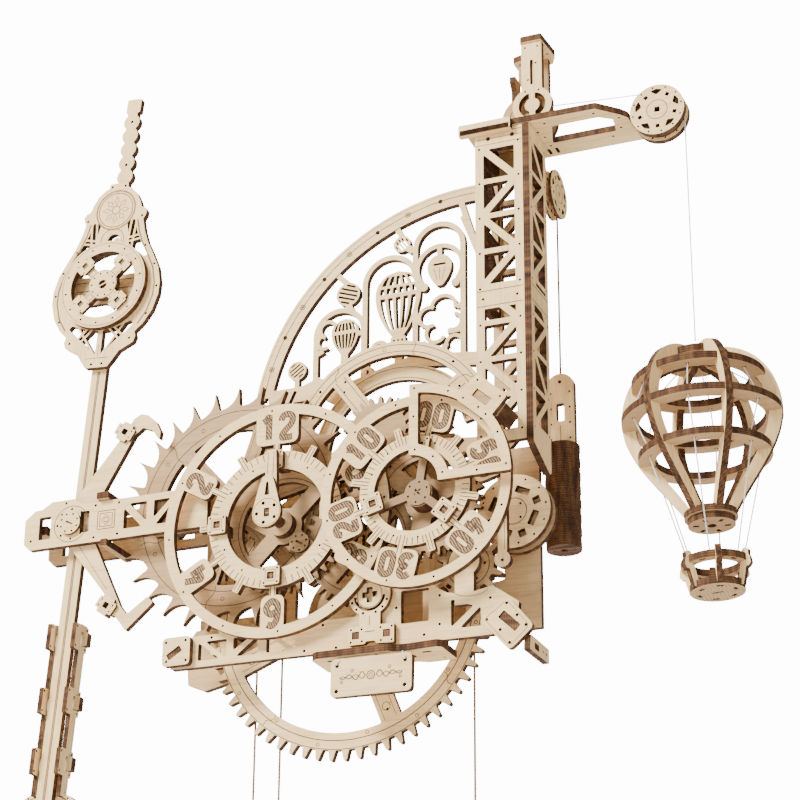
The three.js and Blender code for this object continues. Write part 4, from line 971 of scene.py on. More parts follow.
REEL_FACE = low("winding_reel", 1)
reel = Sheet("reel_face", "reel", near=REEL_FACE, thick=2.8, face="slanted")
reel.add(disc(REEL, 15.7))
reel.cut(*soft([turned(polar(REEL, 9.2, rad(a)), 6.4, 3.0, rad(a + 90)) for a in (-25, 65, 155, 245)], 0.5))
reel.cut(*[square(polar(REEL, 10.4, rad(a)), 3.2, rad(a)) for a in (20, 110, 200, 290)])
reel.pins(ring_of(REEL, 13.9, 8, 12), 0.8).circle(REEL, 5.6, 0.26).pins(ring_of(REEL, 4.2, 45, 4), 0.9)
reel.build()
# The reel drum is in the darker birch copy: painted shade.
reel_back = Sheet("reel_drum", "reel", near=REEL_FACE + 2.7, thick=6.3, face="painted_shade")
reel_back.add(disc(REEL, 11.5)).add(disc(REEL, 15.7), near=REEL_FACE + 6.2, far=REEL_FACE + 9)
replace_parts(reel_back.build(), "winding_reel")

# ---------------------------------------------------------------- arch
ARCH, ARCH_OUT, ARCH_IN = (78.3, 50.5), 103.4, 95.9
RIB, ARCH_FOOT, ARCH_RIGHT = 2.4, 24.6, high("tower_front", 0) - 21.7
arch = Sheet("arch", "frame", near=REAR, face="slanted")
arch.add(sector(ARCH, ARCH_OUT, ARCH_IN, rad(86), rad(195)))
arch.add(sector(UPPER, 38.5, 31.5, rad(14), rad(176)))
arch.add([(-21, 64), (-21, 28), (-14, 25), (-14, 64)])
arch.add([(-18, 71), (-16, 64), (8, 64), (14, 60), (20, 66), (6, 74), (-2, 71)])
for (x0, x1), spring, foot in (((4.4, 27), 93, 66), ((27.4, 51), 114, 72), ((51, 73), 127, 72)):
    radius, top = (x1 - x0) / 2 + RIB / 2, ((x0 + x1) / 2, spring)
    arch.add(sector(top, radius, radius - RIB, 0, math.pi))
    arch.add(rect(x0 - RIB / 2, foot, x0 + RIB / 2, spring + 0.1),
             rect(x1 - RIB / 2, foot, x1 + RIB / 2, spring + 0.1))
arch.add(bar((16, 66), (50, 75), 4.5)).add(bar((50, 75), (86.5, 70), 6))
arch.add(bar((73, 140), (86.5, 104), 2.6)).add(bar((72, 148), (79, 124), 2.6))
globes = [((-4.3, 78.8), 4.4, 35), ((19.4, 111.6), 5.6, -20), ((44.7, 131.5), 4.0, -55)]
for centre, radius, _ in globes:
    arch.add(disc(centre, radius))
for a, b, width in (((-4.3, 74.9), (-4.3, 70), 2.2), ((19.4, 116.6), (14.5, 121.5), 2.4),
                    ((19.4, 106.4), (21, 103), 3), ((44.7, 134.9), (42.5, 139), 2.4),
                    ((47.6, 129), (50, 127), 3)):
    arch.add(bar(a, b, width))
for centre, radius, tilt in globes:
    stripes = []
    for k in (-2, -1, 0, 1, 2):
        half = math.sqrt(max(0.0, (radius - 1.0) ** 2 - (k * radius * 0.36) ** 2))
        at = polar(centre, k * radius * 0.36, rad(tilt) + TAU / 4)
        if half > 0.8:
            stripes.append(rounded(turned(at, 2 * half, radius * 0.17, rad(tilt)), 0.3, 2))
    arch.cut(*stripes)


def balloon_ornament(sheet, centre, radius, tail, waist, rows):
    """A flat balloon: a dome running down to a neck, cut by meridian slots."""
    def half_width(v):
        if v >= 0:
            return math.sqrt(max(0.0, radius * radius - v * v))
        share = min(1.0, -v / tail)
        return waist + (radius - waist) * math.cos(share * TAU / 4) ** 0.85

    levels = [-tail + (radius + tail) * k / 26 for k in range(27)]
    left = [(centre[0] - half_width(v), centre[1] + v) for v in levels[:-1]]
    right = [(centre[0] + half_width(v), centre[1] + v) for v in levels[:-1]]
    sheet.add(left + [(centre[0], centre[1] + radius)] + right[::-1])
    slots = []
    for v0, v1, columns in rows:
        for k in range(columns):
            a, b = (-0.86 + 1.72 * (k + 0.2) / columns), (-0.86 + 1.72 * (k + 0.8) / columns)
            steps = [v0 + (v1 - v0) * j / 4 for j in range(5)]
            slot = [(centre[0] + a * half_width(v), centre[1] + v) for v in steps]
            slot += [(centre[0] + b * half_width(v), centre[1] + v) for v in steps[::-1]]
            slots.append(slot)
    sheet.cut(*slots)


balloon_ornament(arch, (43, 108), 10.6, 21.5, 1.7, [(4.2, 8.4, 5), (0.2, 3.0, 6), (-17, -1.8, 5)])
arch.add(rounded(rect(39.6, 80.6, 46.6, 87.4), 1.0)).add(bar((43.4, 82), (43.2, 72), 3.4))
arch.add(bar((52.2, 109), (51.4, 109), 2.4))
arch.cut(*[rect(x, 82.4, x + 0.9, 86) for x in (40.8, 42.7, 44.6)])
balloon_ornament(arch, (18.2, 93.5), 6.4, 10.5, 1.5, [(0.8, 4.4, 6), (-7.6, -0.8, 6)])
arch.add(bar((18, 84), (18, 72), 3.4)).add(bar((24.2, 92), (26.6, 92), 2.2))
arch.add(sector((62.3, 117), 11.4, 9.4, rad(-40), rad(220))).add(disc((55, 108.6), 2.0))
arch.add(disc((69.6, 108.6), 2.0))
balloon_ornament(arch, (62.3, 117.6), 5.6, 9.4, 1.2, [(0.4, 1.4, 1)])
arch.add(bar((62.3, 122.8), (62.3, 128), 2.2)).add(bar((53.4, 109.4), (51.2, 111), 2.2))
arch.add(bar((71.2, 109.4), (73, 111), 2.2))
arch.line([(62.3, 111), (62.3, 116.6)], 0.2).line([(59.6, 116.8), (61.2, 111)], 0.2)
arch.line([(65, 116.8), (63.4, 111)], 0.2)
for centre, radius, start, end in (((57.4, 94), 5.4, 60, 300), ((64, 97.5), 6.4, -10, 170),
                                   ((68.5, 90), 4.6, -120, 80), ((60.5, 86), 5.2, 120, 330),
                                   ((69, 80), 4.4, 0, 200), ((34.5, 82.4), 4.4, -20, 200),
                                   ((31.3, 76.4), 3.6, 60, 270), ((10.2, 96), 4.6, 20, 250),
                                   ((8.4, 90.4), 4.0, 90, 300)):
    arch.add(sector(centre, radius, radius - 1.6, rad(start), rad(end)))
for a, b in (((52, 91), (51, 96)), ((70.2, 96.6), (73, 98)), ((66, 85.8), (73, 86)), ((64.8, 80), (64, 74)),
             ((56, 82), (51, 80)), ((30.4, 82.6), (28, 80)), ((38.6, 81.4), (41, 79)),
             ((6.4, 93), (4.4, 94)), ((30.8, 73), (31, 70)), ((8, 86.4), (5, 85))):
    arch.add(bar(a, b, 2.4))
arch.cut(rect(ARCH_RIGHT, 0, 140, 200))
arch.cut(rect(-40, 0, 60, ARCH_FOOT))
arch.cut(turned((65.9, 33), 50, 9, math.atan2(-5, 45)))
arch.line(arc(ARCH, (ARCH_OUT + ARCH_IN) / 2, rad(87), rad(194)), 0.26)
arch.line(arc(ARCH, ARCH_OUT - 1.3, rad(87), rad(194)), 0.16, material=FAINT)
for k in range(11):
    spot = polar(ARCH, (ARCH_OUT + ARCH_IN) / 2, rad(99 + 9 * k))
    if k % 2:
        arch.line(rounded(square(spot, 1.9, rad(99 + 9 * k)), 0.3), 0.3, True)
        arch.line(bar_line((spot[0] - 0.5, spot[1]), (spot[0] + 0.5, spot[1])), 0.7)
    else:
        arch.pins([spot], 1.7)
for radius in (32.6, 37.4):
    arch.line(arc(UPPER, radius, rad(16), rad(174)), 0.24)
arch.cut(rect(-19.4, 60, -17.6, 68)).cut(turned((-6, 66.5), 1.6, 6, rad(-25)))
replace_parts(arch.build(), "arch_frame")

# ---------------------------------------------------------------- tower
TOWER_LEFT, TOWER_RIGHT, TOWER_TOP = low("tower_front", 0), high("tower_front", 0), high("tower_front", 2)
TOWER_FOOT = low("tower_front", 2)
RUNG_PITCH, COLLAR_LOW, COLLAR_HIGH = 16.6, 82.3, 92  # the collar joins the two lengths of the tower
rungs = [26 + k * RUNG_PITCH for k in range(9)]
tower = Sheet("tower_face", "frame", near=FRONT, face="upright")
tower.add(rect(TOWER_LEFT, TOWER_FOOT, TOWER_RIGHT, TOWER_TOP))
tower.cut(*lattice(TOWER_LEFT, TOWER_RIGHT, 3.8, rungs, 2.4))
tower.add(rect(TOWER_LEFT + 0.2, 158.6, TOWER_RIGHT - 0.2, TOWER_TOP - 0.1))
tower.add(rect(TOWER_LEFT + 0.2, COLLAR_LOW, TOWER_RIGHT - 0.2, COLLAR_HIGH))
tower.pins([(92.8, 162.7), (103.7, 162.8)], 1.7)
for k, z in enumerate(rungs):
    tower.pins([(TOWER_LEFT + 1.9, z - 0.6), (TOWER_RIGHT - 1.9, z + 0.8)], 0.9)
for z in (160, 162.7, 165.2):
    tower.line(bar_line((TOWER_LEFT + 0.4, z), (TOWER_RIGHT - 0.4, z)), 0.2)
for z in (83.6, 90.6):
    tower.line(bar_line((TOWER_LEFT + 0.6, z), (TOWER_RIGHT - 0.6, z)), 0.26)
tower.pins([(90, 87), (105, 87)], 1.0)
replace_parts(tower.build(), "tower_front")

SIDE_X = low("tower_right", 0)
side_front, side_back = low("tower_right", 1), high("tower_right", 1)
side = Sheet("tower_side", "frame", "yz", near=SIDE_X, face="upright", shows="far")
side_foot = low("tower_right", 2)
side.add(rounded([(side_front, TOWER_TOP), (side_front, 20), (side_back - 2, side_foot),
                  (side_back, side_foot + 1.5), (side_back, TOWER_TOP)], 0.8))
side.cut(*lattice(side_front, side_back, 3.4, [28 + k * RUNG_PITCH for k in range(9)], 2.2))
side.add(rect(side_front + 0.1, COLLAR_LOW, side_back - 0.1, COLLAR_HIGH))
for k in range(9):
    side.pins([(side_front + 1.7, 27 + k * RUNG_PITCH), (side_back - 1.7, 29 + k * RUNG_PITCH)], 0.9)
for z in (83.6, 90.6):
    side.line(bar_line((side_front + 0.4, z), (side_back - 0.4, z)), 0.26)
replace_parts(side.build(), "tower_right")

# ---------------------------------------------------------------- jib and winch
JIB_TOP = high("jib_plate", 2)
jib = Sheet("jib", "frame", "xy", near=JIB_TOP - PLY)
jib.add(rounded(level([(82.3, 5.5), (104, 5.5), (140.8, 6), (149.5, 15), (151.6, 18.5),
                 (151.6, 28.8), (166.5, 28.8), (166.5, 38.5), (78, 38.5), (78, 30),
                 (81.8, 24)]), 1.4))
jib.cut(rounded(level([(115, 27), (119.2, 13.4), (139.8, 13.4), (145.2, 17.4),
                 (143.6, 27)]), 1.0))
jib.pins(level([(117, 10), (139, 9.6), (148, 17), (146.4, 25), (113.4, 29), (141, 31),
          (112, 16), (113.4, 21)]), 1.0)
jib.cut(rect(110.6, behind(31.5), 112, behind(36)), rect(114.2, behind(31.5), 115.6, behind(36)))
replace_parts(jib.build(), "jib_plate")
lip = Sheet("jib_lip", "frame", "xy", near=JIB_TOP - 2 * PLY + 0.4, thick=PLY - 0.5)
lip.add(rounded(rect(80.5, behind(2.6), 104, behind(5.7)), 0.6))
lip.build()
jib_edge = Sheet("jib_front_strip", "frame", near=behind(2.6), thick=2.85, face="across", slot="birch_edge")
jib_edge.add(rounded(rect(80.5, JIB_TOP - 5.4, 104, JIB_TOP - 0.5), 0.4))
jib_edge.build()
axle("sheave_axle", SHEAVE, 1.4, behind(24.8), 5)
pulley_x, pulley_y, pulley_z = WHEEL_PULLEY
PULLEY = (pulley_y, pulley_z)
hanger = Sheet("pulley_hanger", "frame", "yz", near=pulley_x - 5.7, face="upright")
hanger.add(rounded([(behind(31), JIB_TOP - PLY), (behind(31), 162), (pulley_y - 1.7, pulley_z - 4),
                    (pulley_y + 2.3, pulley_z - 4), (pulley_y + 3.3, pulley_z),
                    (behind(38.2), JIB_TOP - PLY)], 1.2))
hanger.pins([(behind(34), 163), (pulley_y - 2, pulley_z + 6)], 0.9)
hanger.build()
axle("pulley_pin", PULLEY, 1.2, pulley_x - 3, 5.4, "yz")


def spoked_flange(name, body, plane, centre, radius, near, thick, shows="near", face="slanted"):
    """A pulley flange: five triangular windows, five square holes, pins round the rim and a ringed middle."""
    flange = Sheet(name, body, plane, near=near, thick=thick, shows=shows, face=face)
    flange.add(disc(centre, radius))
    turns = [54 + 72 * k for k in range(5)]
    window_at = ((0.80, 19), (0.84, 36), (0.80, 53), (0.60, 36))
    flange.cut(*soft([[polar(centre, radius * share, rad(turn + past)) for share, past in window_at]
                      for turn in turns], 0.4, 3))
    flange.cut(*[square(polar(centre, radius * 0.67, rad(turn)), radius * 0.14, rad(turn)) for turn in turns])
    flange.cut(square(centre, radius * 0.2))
    flange.circle(centre, radius * 0.38, 0.24)
    flange.pins(ring_of(centre, radius * 0.9, 8, 12), 0.75)
    return flange.build()


SHEAVE_FACE = low("jib_sheave", 1)
spoked_flange("sheave_front", "sheave", "xz", SHEAVE, 11.9, SHEAVE_FACE, 2.9)
spoked_flange("sheave_back", "sheave", "xz", SHEAVE, 11.9, SHEAVE_FACE + 6.1, 2.9)
# The sheave core between its flanges is in the darker birch copy: painted shade.
sheave_core = Sheet("sheave_core", "sheave", near=SHEAVE_FACE + 2.9, thick=3.2, face="painted_shade",
                    slot="birch_edge")
sheave_core.add(disc(SHEAVE, 10.3)).cut(disc(SHEAVE, 1.7))
sheave_core.line(arc(SHEAVE, 8, 0, 6), 0.3, material=FAINT)
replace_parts(sheave_core.build(), "jib_sheave")

spoked_flange("pulley_outer", "counter_pulley", "yz", PULLEY, 11, pulley_x + 1.2, 1.2, "far", "upright")
spoked_flange("pulley_inner", "counter_pulley", "yz", PULLEY, 11, pulley_x - 2.4, 1.2, "near", "upright")
# The pulley core between its flanges is in the darker birch copy: painted shade.
pulley_core = Sheet("pulley_core", "counter_pulley", "yz", near=pulley_x - 1.3, thick=2.6, face="painted_shade")
pulley_core.add(disc(PULLEY, 2.9)).cut(disc(PULLEY, 1.5))
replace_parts(pulley_core.build(), "counter_sheave")

WINCH_FACE, POST_FOOT = low("winch_plate", 1), JIB_TOP + 0.3
RING_AT = (107.5, 185.2)
winch = Sheet("winch_face", "frame", near=WINCH_FACE, face="upright")
winch.add(rounded(rect(102.8, 189, 112.2, 216.8), 0.6)).add(disc(RING_AT, 9))
winch.cut(*windows(RING_AT, 6.2, 3.4, 2, rad(90), 2.6, 0.5))
winch.add(rect(101, POST_FOOT, 114, 177.5)).cut(rounded(rect(106.8, 195.5, 108.2, 208), 0.6))
winch.pins([(104.6, 214.6), (110.4, 214.4), (104.4, 192.4), (110.6, 192.2), (105.8, 198), (109.4, 206)], 0.8)
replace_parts(winch.build(), "winch_plate")
CAP_BOTTOM = high("winch_cap", 2) - PLY
cap = Sheet("winch_roof", "frame", "xy", near=CAP_BOTTOM)
cap.add(rounded(level([(102.4, 21), (112.4, 21), (113.4, 37.4), (110.6, 43), (94, 43),
                 (94, 36), (102.4, 34)]), 1.2))
cap.pins(level([(110.8, 34), (109.6, 39), (104.4, 26)]), 0.9)
cap.build()
# The winch post behind the plate is in the darker birch copy: painted shade.
post = Sheet("winch_post", "frame", near=behind(37.6), face="painted_shade", slot="birch_edge")
post.add(rounded([(96, POST_FOOT), (110, POST_FOOT), (110, 217.2), (96, 217.2), (96, 208), (97.6, 204),
                  (97.6, 192), (96, 188)], 0.8))
post.line(arc((101, 200), 4, 0, 6.2), 0.3)
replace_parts(post.build(), "winch_cap")
# The post side is in the darker birch copy: painted shade.
post_side = Sheet("winch_post_side", "frame", "yz", near=94.6, thick=2.4, face="painted_shade", slot="birch_edge")
post_side.add(rounded([(behind(29.6), POST_FOOT), (behind(37.4), POST_FOOT), (behind(37.4), 206.4),
                       (behind(29.6), 206.4), (behind(29.6), 203), (behind(32), 200), (behind(32), 180)],
                      0.8))
post_side.build()
axle("winch_axle", WINCH, 1.4, behind(25.3), 12.4)
DRUM_FACE = low("winch_drum", 1)
# The winch barrel is in the darker birch copy: painted shade.
drum_piece = Sheet("winch_barrel", "winch", near=DRUM_FACE, thick=9.4, face="painted_shade", slot="birch_edge")
drum_piece.add(disc(WINCH, 6.5)).add(disc(WINCH, 11.6), near=DRUM_FACE, far=DRUM_FACE + 2.8)
drum_piece.add(disc(WINCH, 11.6), near=DRUM_FACE + 6.6, far=DRUM_FACE + 9.4).cut(disc(WINCH, 1.7))
drum_piece.circle(WINCH, 8, 0.3)
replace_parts(drum_piece.build(), "winch_drum")

# ---------------------------------------------------------------- pendulum
LEAN_AT = Matrix.Translation(Vector((PIVOT[0] * MM, 0, PIVOT[1] * MM)))
LEAN = LEAN_AT @ Matrix.Rotation(rad(4.06), 4, "Y") @ LEAN_AT.inverted()


def up(points):
    """Points across and along the pendulum, measured from its pivot."""
    return [on_rod(*point) for point in points]


def on_rod(x, z):
    return PIVOT[0] + x, PIVOT[1] + z


def flipped(points):
    return [(-x, z) for x, z in points][::-1]


def both(points):
    return up(points), up(flipped(points))


ROD_HALF, MEDAL, COMB_TOP = 3.7, 114.0, 212.0
rod = Sheet("rod", "pendulum", near=PENDULUM_FACE, face="upright")
rod.add(up(rect(-ROD_HALF, -120, ROD_HALF, 80))).add(disc(PIVOT, 9)).cut(disc(PIVOT, BORE))
rod.add(up(rect(-2, -128, 2, -119)))
rod.line(up([(0.4, -119), (0.4, -12)]), 0.3).line(up([(0.4, 12), (0.4, 74)]), 0.3)
rod.line(up([(-0.3, -119), (-0.3, -12)]), 0.5, material=FAINT)
rod.line(up([(-0.3, 12), (-0.3, 74)]), 0.5, material=FAINT)
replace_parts(rod.build(LEAN), "pendulum_rod")

comb = Sheet("comb", "pendulum", near=PENDULUM_FACE, face="upright")
comb.add(up(rect(-2.4, 158, 2.7, 206)))
comb.add(*[disc(on_rod(0.2, 171.5 + k * 14.2), 4.1) for k in range(3)])
comb.add(*[disc(on_rod(0.2, 178.6 + k * 14.2), 4.1) for k in range(2)])
comb.add(rounded(up([(-3.4, 204.8), (3.9, 204.8), (4.1, COMB_TOP), (-3.2, COMB_TOP)]), 0.9))
comb.pins(up([(0.4, 200), (0.2, 177.6)]), 1.2)
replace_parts(comb.build(LEAN), "pendulum_comb")

HALF = [(5.5, 74.7), (7.6, 77.4), (10.6, 81.8), (17.4, 85.6), (18.2, 88.3), (17.4, 90.6), (21.2, 94.2),
        (25.0, 100.2), (27.2, 107.8), (27.3, 114), (25.6, 121.4), (22.0, 128.6), (18.6, 134.8), (16.2, 141),
        (14.8, 146.6), (15.8, 148.4), (16.2, 150.4), (15.2, 152.2), (13.2, 153), (12.2, 156), (10.0, 160.2),
        (7.0, 163.1), (4.8, 164.2), (4.8, 166.3), (0, 166.6)]
MEDAL_FACE, CREST = low("pendulum_medallion", 1), on_rod(0, 152.7)
medal = Sheet("medallion", "pendulum", near=MEDAL_FACE, face="upright")
medal.add(rounded(up(HALF + flipped(HALF[:-1])), 0.7, 2))
medal.cut(disc(on_rod(0, MEDAL), 19))
side_upper = [(6.6, 146.4), (10.6, 147), (12.4, 141), (16.2, 133.2), (20, 128.4), (17.6, 127.6),
              (12.6, 131.6), (9.0, 134.4), (8.0, 140)]
side_lower = [(1.5, 80), (1.2, 92.6), (8, 93.8), (15, 96.2), (16.4, 94.6), (12.6, 90.8), (7.6, 86.8),
              (4.4, 83.4)]
for pair in (side_upper, side_lower):
    medal.cut(*soft(both(pair), 0.6, 2))
for a, b in (((9.2, 149), (7.6, 131)), ((11.8, 149), (10.2, 131)), ((7, 137.6), (15.4, 139.2)),
             ((6.8, 135.6), (16, 137.2)), ((1.4, 80), (11.8, 95.4)), ((12.4, 88.4), (5.6, 95)),
             ((10.6, 86.8), (3.8, 93.8))):
    for sign in (-1, 1):
        medal.add(bar(*up([(sign * a[0], a[1]), (sign * b[0], b[1])]), 0.95))
medal.cut(disc(on_rod(0.9, 137.2), 3.2))
medal.cut(rounded(up([(-3.2, 131), (0.6, 131), (0.6, 137), (-2.4, 137)]), 0.4))
medal.add(disc(on_rod(2.6, 136.6), 1.9))
medal.line(arc(on_rod(0, 137.2), 6.0, rad(-40), rad(205)), 0.24)
medal.circle(CREST, 9.8, 0.6, FAINT).circle(CREST, 8.6, 0.3)
medal.circle(CREST, 2.0, 0.26)
for k in range(8):
    petal = ((2.4, k), (4.6, k + 0.3), (6.8, k), (4.6, k - 0.3))
    medal.line([polar(CREST, r, TAU * share / 8) for r, share in petal], 0.24, True)
for sign in (-1, 1):
    medal.line(up([(sign * (x - 2.7), z) for x, z in HALF[6:15]]), 0.55, material=FAINT)
    medal.line(up([(sign * (x - 2.9), z) for x, z in HALF[6:15]]), 0.2)
    medal.pins(up([(sign * x, z) for x, z in ((2.6, 76.4), (15.2, 87.6), (22.2, 98.8), (25.8, 112),
                                              (23.4, 123.2), (17.6, 133), (14, 148.4), (3.4, 164.8))]), 1.0)
medal.line(up([(-5.8, 79.2), (5.8, 79.2)]), 0.22).line(up([(0, 80), (0, 86)]), 0.22)
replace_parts(medal.build(LEAN), "pendulum_medallion")
# The backing behind the medallion is in a darker birch copy: painted half shade.
backing = Sheet("medallion_backing", "pendulum", near=MEDAL_FACE + PLY, thick=2.4, face="deep")
middle_of = on_rod(0, MEDAL)
backing.add(disc(middle_of, 20.6)).cut(*windows(middle_of, 18.4, 7, 2, 0, 15, 3))
for v in (-4.2, 0.4, 4.6):
    backing.line(up([(-17, MEDAL + v), (17, MEDAL + v)]), 0.3)
backing.build(LEAN)

ROSE_FACE = low("pendulum_rosette", 1)
rose = Sheet("rosette", "pendulum", near=ROSE_FACE, face="slanted")
rose.add(disc(middle_of, 21.4)).cut(*windows(middle_of, 16.2, 7.2, 4, rad(45), 4.6, 1.4))
rose.circle(middle_of, 20.4, 0.2, FAINT).pins(ring_of(middle_of, 18.8, 10, 14), 0.85)
rose.pins(ring_of(middle_of, 5.6, 0, 10), 0.75).circle(middle_of, 7.0, 0.2)
rose.cut(*[sector(middle_of, 2.2, 0.45, rad(40 + 180 * k), rad(190 + 180 * k)) for k in range(2)])
for k in range(4):
    angle = rad(45 + 90 * k)
    for side in (-1.5, 1.5):
        rose.line(spoke_line(middle_of, 7.4, 9.6, side, angle), 0.2)
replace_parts(rose.build(LEAN), "pendulum_rosette")
caps = Sheet("rosette_caps", "pendulum", near=ROSE_FACE - 1.3, thick=1.4)
for k in range(4):
    angle = rad(45 + 90 * k)
    cap_at = polar(middle_of, 13.2, angle)
    caps.add(rounded(turned(cap_at, 6.6, 6.4, angle), 0.6)).add(turned(cap_at, 4.4, 8.6, angle))
    caps.cut(square(cap_at, 2.7, angle))
    caps.pins([polar(cap_at, 3.4, angle + rad(t)) for t in (50, 130, 230, 310)], 0.6)
caps.build(LEAN)

CLIP_AT = (-49, -77, -103)
clips = Sheet("ballast_clips", "pendulum", near=PENDULUM_FACE + 3.3, thick=3.4, face="upright")
for z in CLIP_AT:
    clips.add(rounded(up(rect(-9.2, z - 3, 9.2, z + 3)), 0.6))
clips.build(LEAN)
for side, inner in (("left", -6.9), ("right", 5.2)):
    rail = Sheet(f"ballast_rail_{side}", "pendulum", "yz", near=PIVOT[0] + inner, thick=2.1, face="upright")
    rail.add(rect(PENDULUM_FACE + 0.6, PIVOT[1] - 117, PENDULUM_FACE + 5.6, PIVOT[1] - 43))
    for z in CLIP_AT:
        at = PIVOT[1] + z
        rail.add(rounded(rect(PENDULUM_FACE - 3.4, at - 5.6, PENDULUM_FACE + 7.0, at + 5.6), 0.7, 3))
        rail.cut(rounded(rect(PENDULUM_FACE + 1.2, at - 3.4, PENDULUM_FACE + 3.4, at + 2.6), 0.3, 2))
        rail.pins([(PENDULUM_FACE + across, at + rise) for across in (-2.6, 5.6) for rise in (-4.2, 4.2)],
                  0.9)
    rail.build(LEAN)
bob = Sheet("ballast_bob", "pendulum", near=PENDULUM_FACE + 3.3, thick=5)
bob_at = on_rod(0, -134)
bob.add(disc(bob_at, 19.9)).add(up(rect(-5, -120, 5, -100)), far=PENDULUM_FACE + 6.3)
bob.cut(*windows(bob_at, 16, 8, 6, rad(30), 4, 1.6))
bob.circle(bob_at, 18, 0.3).circle(bob_at, 6, 0.3).pins(ring_of(bob_at, 18.9, 0, 18), 0.8)
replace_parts(bob.build(LEAN), "pendulum_ballast")

ANCHOR_FACE = low("anchor", 1)
anchor = Sheet("anchor_arms", "pendulum", near=ANCHOR_FACE, face="slanted")
upper_arm = [(-4, 8), (3.5, 6), (8, 5), (27, 38.5), (31, 41.5), (35.6, 39.6), (39.2, 34.4), (39.6, 38.4),
             (37.2, 43.4), (33, 47.2), (29.6, 48.2), (26.2, 46.4), (23.8, 42.6), (20, 37.6)]
lower_arm = [(3.5, -6), (-3, -8), (16.6, -33), (13.2, -37.8), (18, -42), (22.2, -43.4), (27.4, -50.4),
             (40, -39.4), (37.2, -36.4), (27.6, -43.2), (24.4, -39), (9, -6)]
anchor.add(rounded(up(upper_arm), 0.8, 3)).add(rounded(up(lower_arm), 0.8, 3)).add(disc(PIVOT, 9.4))
block_upper, block_lower = on_rod(22.6, 40.4), on_rod(18.2, -38.4)
for centre, angle in ((block_upper, rad(-32)), (block_lower, rad(-36))):
    anchor.add(rounded(turned(centre, 9.4, 5.4, angle), 0.8), near=ANCHOR_FACE - 1.4)
    anchor.add(rounded(turned(centre, 5.4, 8.4, angle), 0.8), near=ANCHOR_FACE - 1.4)
    anchor.cut(square(centre, 2.6, angle), near=ANCHOR_FACE - 3, far=ANCHOR_FACE + 5)
    anchor.cut(*[pin_hole(polar(centre, 3.5, angle + rad(t)), 0.4) for t in (25, 155, 205, 335)],
               near=ANCHOR_FACE - 3, far=ANCHOR_FACE + 5)
anchor.cut(disc(PIVOT, BORE))
anchor.line(up([(2.4, -9), (17.6, -31)]), 0.24, material=FAINT)
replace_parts(anchor.build(), "anchor")
pivot = Sheet("pivot_cap", "frame", near=low("pivot_pin", 1), thick=1.5)
pivot.add(disc(PIVOT, 5.2)).pins(ring_of(PIVOT, 4.1, 20, 8), 0.8).cut(turned(PIVOT, 3.6, 0.8, rad(-28)))
pivot.build()
# The pivot shaft is in the darker birch copy: painted shade.
pivot_shaft = Sheet("pivot_shaft", "frame", near=low("pivot_pin", 1) + 1,
                    thick=high("pivot_pin", 1) - low("pivot_pin", 1) - 1, face="painted_shade")
pivot_shaft.add(disc(PIVOT, ARBOR))
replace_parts(pivot_shaft.build(), "pivot_pin")

# ---------------------------------------------------------------- beams
BEAM_TIP, BEAM_LOW, BEAM_HIGH = low("front_beam_left", 0), low("front_beam_left", 2), 21.9


def left_beam(sheet, right_end):
    tip, bottom, top = BEAM_TIP, BEAM_LOW, BEAM_HIGH
    sheet.add(rounded([(tip + 3, bottom), (right_end, bottom), (right_end, top), (tip + 28, top),
                       (tip + 24, top + 3), (tip + 13, top + 3), (tip + 8, top), (tip + 5, top),
                       (tip, top - 4), (tip, bottom + 3)], 1.0))
    sheet.cut(*[rounded(shape, 0.6, 3)
                for shape in (rect(tip + 7.2, bottom + 4.2, tip + 12.9, top - 3.6),
                              rect(tip + 27.4, bottom + 5, tip + 31.8, top - 3.4),
                              [(tip + 48.6, bottom + 4), (tip + 57.4, bottom + 4), (tip + 48.6, top - 4.6)],
                              [(tip + 51, top - 2.9), (tip + 59.6, top - 2.9), (tip + 59.6, bottom + 6.2)],
                              [(tip + 64, bottom + 4), (tip + 72, bottom + 4), (tip + 72, top - 5)],
                              [(tip + 63, bottom + 7), (tip + 63, top - 3), (tip + 71, top - 3)])])
    return sheet


beam = left_beam(Sheet("left_beam", "frame", near=FRONT), high("front_beam_left", 0))
beam.cut(disc(PIVOT, BORE))
beam.circle(PIVOT, 8.2, 0.24).pins(ring_of(PIVOT, 6.8, 0, 8), 0.9)
ORNAMENT = (-82.9, 13.2)
beam.line(rounded(square(ORNAMENT, 8.2), 0.4), 0.28, True)
beam.line(rounded(square(ORNAMENT, 6.0), 0.4), 0.22, True)
beam.circle(ORNAMENT, 1.1, 0.24).line([polar(ORNAMENT, 2.4, TAU * k / 4) for k in range(4)], 0.24, True)
beam.pins([(-88.4, 20.4), (-88.6, 5.8), (-77, 20.2), (-77.2, 6), (-119.6, 8), (-103, 23.4)], 1.0)
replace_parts(beam.build(), "front_beam_left")

LOW_LEFT, LOW_RIGHT = low("front_beam_lower", 0), high("front_beam_lower", 0)
LOW_BOTTOM = low("front_beam_lower", 2) + 1
IDLER, WINDER = axis_of("idler_turn"), axis_of("winder_turn")


def lower_outline():
    notch = [(66.5, -33.4), (69.4, -36.6), (73.6, -39.2), (79, -40.4), (85, -40.2), (93, -38.6)]
    return [(LOW_LEFT + 3, LOW_BOTTOM), (LOW_RIGHT - 2, LOW_BOTTOM - 1), (LOW_RIGHT, -46.6), *notch[::-1],
            (48, -33.4), (44, -35.6), (34, -44.6), (LOW_LEFT + 3, -44.6), (LOW_LEFT, -48.6),
            (LOW_LEFT, LOW_BOTTOM + 4)]


